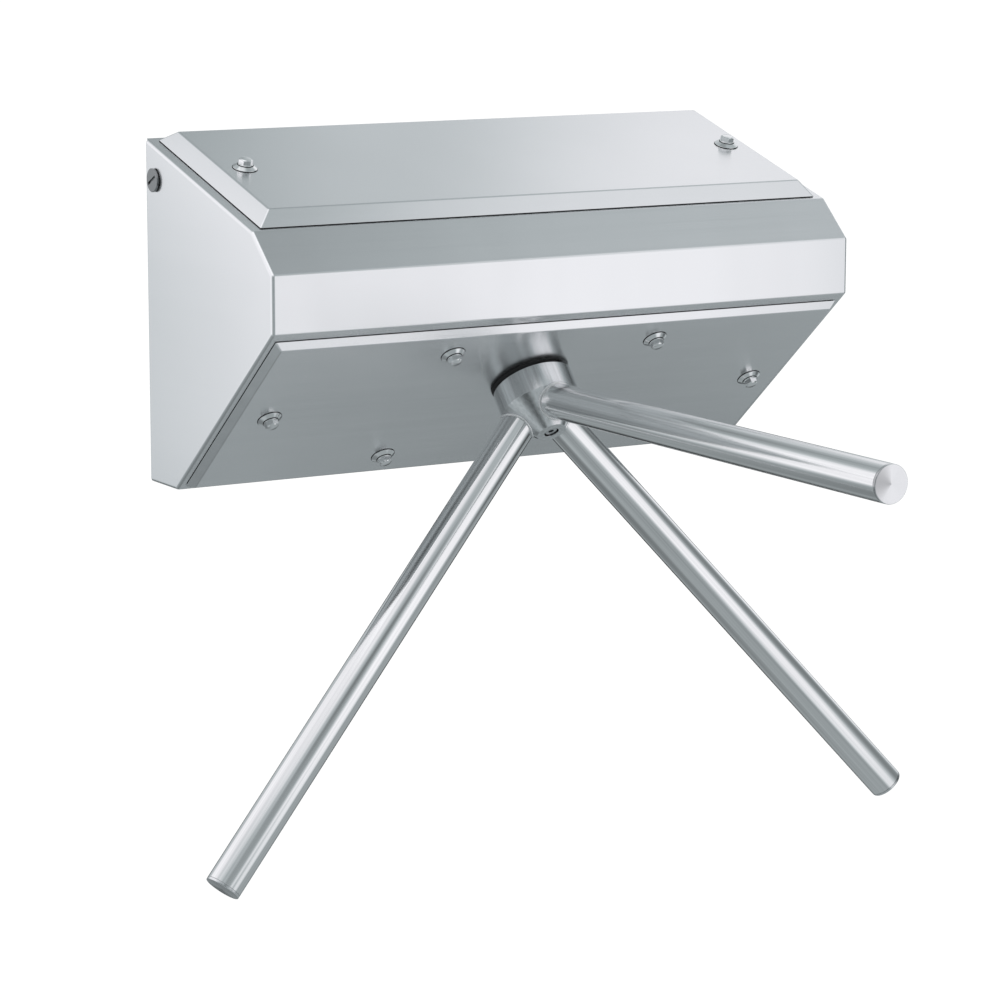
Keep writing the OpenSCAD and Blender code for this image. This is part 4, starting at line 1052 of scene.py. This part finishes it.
def root_edges():
    verts, faces = [], []
    for turn in ARM_TURNS.values():
        arm = ON_HUB.inverted() @ on_arm(turn)
        first = len(verts)
        for k in range(BEAD_SIDES):
            t = 2 * math.pi * k / BEAD_SIDES
            radial = Vector((math.cos(t), math.sin(t), 0))
            root = root_distance(arm, radial)
            for m in range(BEAD_STEPS):
                a = 2 * math.pi * m / BEAD_STEPS
                rise = Vector((0, 0, root + BEAD_R * math.sin(a)))
                verts.append(arm @ (radial * (BEAD_IN_R + BEAD_R * math.cos(a)) + rise))
        for k in range(BEAD_SIDES):
            a = first + k * BEAD_STEPS
            b = first + (k + 1) % BEAD_SIDES * BEAD_STEPS
            for m in range(BEAD_STEPS):
                n = (m + 1) % BEAD_STEPS
                faces.append((a + m, b + m, b + n, a + n))
    add_piece("arm_root_edges", verts, faces, bead_mat, "rotor", "hub_steel", None, ON_HUB,
              sharp=180)


root_edges()


# Studio: a light tent round the part, one lamp and a white floor
TARGET = Vector((0.0, -0.2, -0.05))
TENT_R = 1.4
DARKEST, BRIGHTEST = 0.05, 1.0
ROOF_LEVEL = 0.48
GROUND_LEVEL = 0.37
FADE_FROM = 0.15
FADE_OVER = 0.33

# The tent's light is a little blue. Its dark parts have less red too: below which level, over what
# range that grows, and how much it takes.
COOL_BELOW = 0.95
COOL_OVER = 0.5
COOL_LESS_RED = 0.09
MORE_BLUE = 1.03

# What hangs on the tent: azimuth, elevation and radius in degrees, and the light that it adds
TENT_LIGHTS = {
    "roof light over the right end": (60, 37, 24, 0.35),
    "roof light over the left end": (-60, 24, 36, 0.60),
    "high light at the front left": (-115, 50, 36, 0.50),
    "high light at the front right": (132, 38, 24, 0.36),
    "strip light at the left": (-60, -3, 16, 0.55),
    "low light at the front right": (150, -28, 20, 0.50),
    "fill behind": (30, 29, 34, 0.15),
    "low fill at the left": (-110, -42, 28, 0.15),
    "flag behind": (31, -10, 40, -0.95),
    "flag behind, on the ground": (40, -40, 26, -0.12),
    "flag behind, left": (-15, -2, 36, -0.45),
    "flag high behind": (0, 38, 20, -0.20),
    "flag at the right": (105, 0, 34, -0.75),
    "flag at the front": (-165, 4, 28, -0.65),
    "flag at the left": (-125, -6, 36, -0.65),
    "flag on the roof": (90, 85, 20, -0.15),
    "flag on the ground": (-46, -62, 34, -0.15),
}


def direction(azimuth, elevation):
    """Azimuth 0 is +Y and 90 is +X."""
    a, e = math.radians(azimuth), math.radians(elevation)
    return Vector((math.sin(a) * math.cos(e), math.cos(a) * math.cos(e), math.sin(e)))


def smooth_step(t):
    t = min(1.0, max(0.0, t))
    return t * t * (3 - 2 * t)


def plain_tent(z):
    """A white wall all round, under a grey roof and over a grey ground."""
    grey = ROOF_LEVEL if z > 0 else GROUND_LEVEL
    return 1.0 + (grey - 1.0) * smooth_step((abs(z) - FADE_FROM) / FADE_OVER)


def tent_level(way):
    level = plain_tent(way.z)
    for azimuth, elevation, radius, more in TENT_LIGHTS.values():
        edge = math.cos(math.radians(radius))
        level += more * smooth_step((way.dot(direction(azimuth, elevation)) - edge) / (1 - edge))
    return min(BRIGHTEST, max(DARKEST, level))


def tent_cloth():
    """Glows in the colour that the mesh stores as glow."""
    mat, tree, out = empty_material("tent_cloth")
    mat.cycles.emission_sampling = "NONE"
    colour = node(tree, "ShaderNodeAttribute", attribute_name="glow")
    light = node(tree, "ShaderNodeEmission", Strength=1.0)
    tree.links.new(colour.outputs["Color"], light.inputs["Color"])
    tree.links.new(light.outputs["Emission"], out.inputs["Surface"])
    return mat


def stage_piece(name, mesh, mat):
    mesh.materials.append(mat)
    obj = bpy.data.objects.new(name, mesh)
    scene.collection.objects.link(obj)
    return obj


def tent():
    """A round light tent, which shows only in reflections."""
    mesh = bpy.data.meshes.new("light_tent")
    bm = bmesh.new()
    bmesh.ops.create_icosphere(bm, subdivisions=6, radius=TENT_R)
    glow = bm.verts.layers.float_color.new("glow")
    for v in bm.verts:
        level = tent_level(v.co.normalized())
        cool = min(1.0, max(0.0, (COOL_BELOW - level) / COOL_OVER))
        v[glow] = (level * (1 - COOL_LESS_RED * cool), level, level * MORE_BLUE, 1.0)
        v.co += TARGET
    bm.to_mesh(mesh)
    bm.free()
    obj = stage_piece("light_tent", mesh, tent_cloth())
    obj.visible_camera = False
    obj.visible_diffuse = False
    obj.visible_transmission = False
    obj.visible_shadow = False


def world():
    """Even white light for the floor, the rubber and the paint."""
    sky_world = bpy.data.worlds.new("studio_world")
    scene.world = sky_world
    sky_world.use_nodes = True
    tree = sky_world.node_tree
    tree.nodes.clear()
    out = node(tree, "ShaderNodeOutputWorld")
    sky = node(tree, "ShaderNodeBackground")
    sky.inputs["Color"].default_value = (1.0, 1.0, 1.0, 1.0)
    tree.links.new(sky.outputs["Background"], out.inputs["Surface"])


def lamp(name, azimuth, elevation, distance, size, power):
    data = bpy.data.lights.new(name, "AREA")
    data.shape = "RECTANGLE"
    data.size, data.size_y = size
    data.energy = power
    obj = bpy.data.objects.new(name, data)
    scene.collection.objects.link(obj)
    away = direction(azimuth, elevation)
    obj.location = TARGET + away * distance
    obj.rotation_mode = "QUATERNION"
    obj.rotation_quaternion = away.to_track_quat("Z", "Y")
    obj.visible_camera = False


# The floor is far larger than the picture, and the camera sees it as mostly plain white light
FLOOR_REACH = 70.0
FLOOR_Z = -1.5
FLOOR_GREY = (0.80, 0.80, 0.80, 1.0)
FLOOR_WHITE = (1.12, 1.12, 1.12, 1.0)
FLOOR_GLOW_SHARE = 0.8


def floor_white():
    mat, tree, out = empty_material("floor_white")
    link = tree.links.new
    matt = node(tree, "ShaderNodeBsdfDiffuse")
    matt.inputs["Color"].default_value = FLOOR_GREY
    white = node(tree, "ShaderNodeEmission", Strength=1.0)
    white.inputs["Color"].default_value = FLOOR_WHITE
    path = node(tree, "ShaderNodeLightPath")
    seen = math_node(tree, "MAXIMUM", path.outputs["Is Camera Ray"], path.outputs["Is Glossy Ray"])
    seen = math_node(tree, "MAXIMUM", seen, path.outputs["Is Transmission Ray"])
    mix = node(tree, "ShaderNodeMixShader")
    link(math_node(tree, "MULTIPLY", seen, FLOOR_GLOW_SHARE), mix.inputs["Fac"])
    link(matt.outputs["BSDF"], mix.inputs[1])
    link(white.outputs["Emission"], mix.inputs[2])
    link(mix.outputs["Shader"], out.inputs["Surface"])
    return mat


def floor():
    mesh = bpy.data.meshes.new("studio_floor")
    w, z = FLOOR_REACH, FLOOR_Z
    mesh.from_pydata([(-w, -w, z), (w, -w, z), (w, w, z), (-w, w, z)], [], [(0, 1, 2, 3)])
    stage_piece("studio_floor", mesh, floor_white())


world()
tent()
lamp("soft_box_left", azimuth=-88, elevation=54, distance=1.3, size=(0.7, 0.56), power=0.3)
floor()


# Camera, as fitted to the photograph: place in metres, angles in radians, lens in millimetres
CAMERA_PLACE = (-1.96073, -3.45365, 0.48383)
YAW = 0.53453
PITCH = -0.17904
ROLL = 0.00166
LENS = 129.856
SENSOR_W = 36.0


def camera():
    ahead = Vector((math.sin(YAW) * math.cos(PITCH), math.cos(YAW) * math.cos(PITCH),
                    math.sin(PITCH)))
    level = Vector((math.cos(YAW), -math.sin(YAW), 0))
    upright = level.cross(ahead)
    right = math.cos(ROLL) * level + math.sin(ROLL) * upright
    up = -math.sin(ROLL) * level + math.cos(ROLL) * upright
    data = bpy.data.cameras.new("photo_camera")
    data.lens = LENS
    data.sensor_width = SENSOR_W
    data.clip_start = 0.1
    data.clip_end = 300.0
    cam = bpy.data.objects.new("photo_camera", data)
    scene.collection.objects.link(cam)
    turn = Matrix((right, up, -ahead)).transposed()
    cam.matrix_world = Matrix.Translation(CAMERA_PLACE) @ turn.to_4x4()
    scene.camera = cam


camera()
scene.view_settings.view_transform = "Standard"
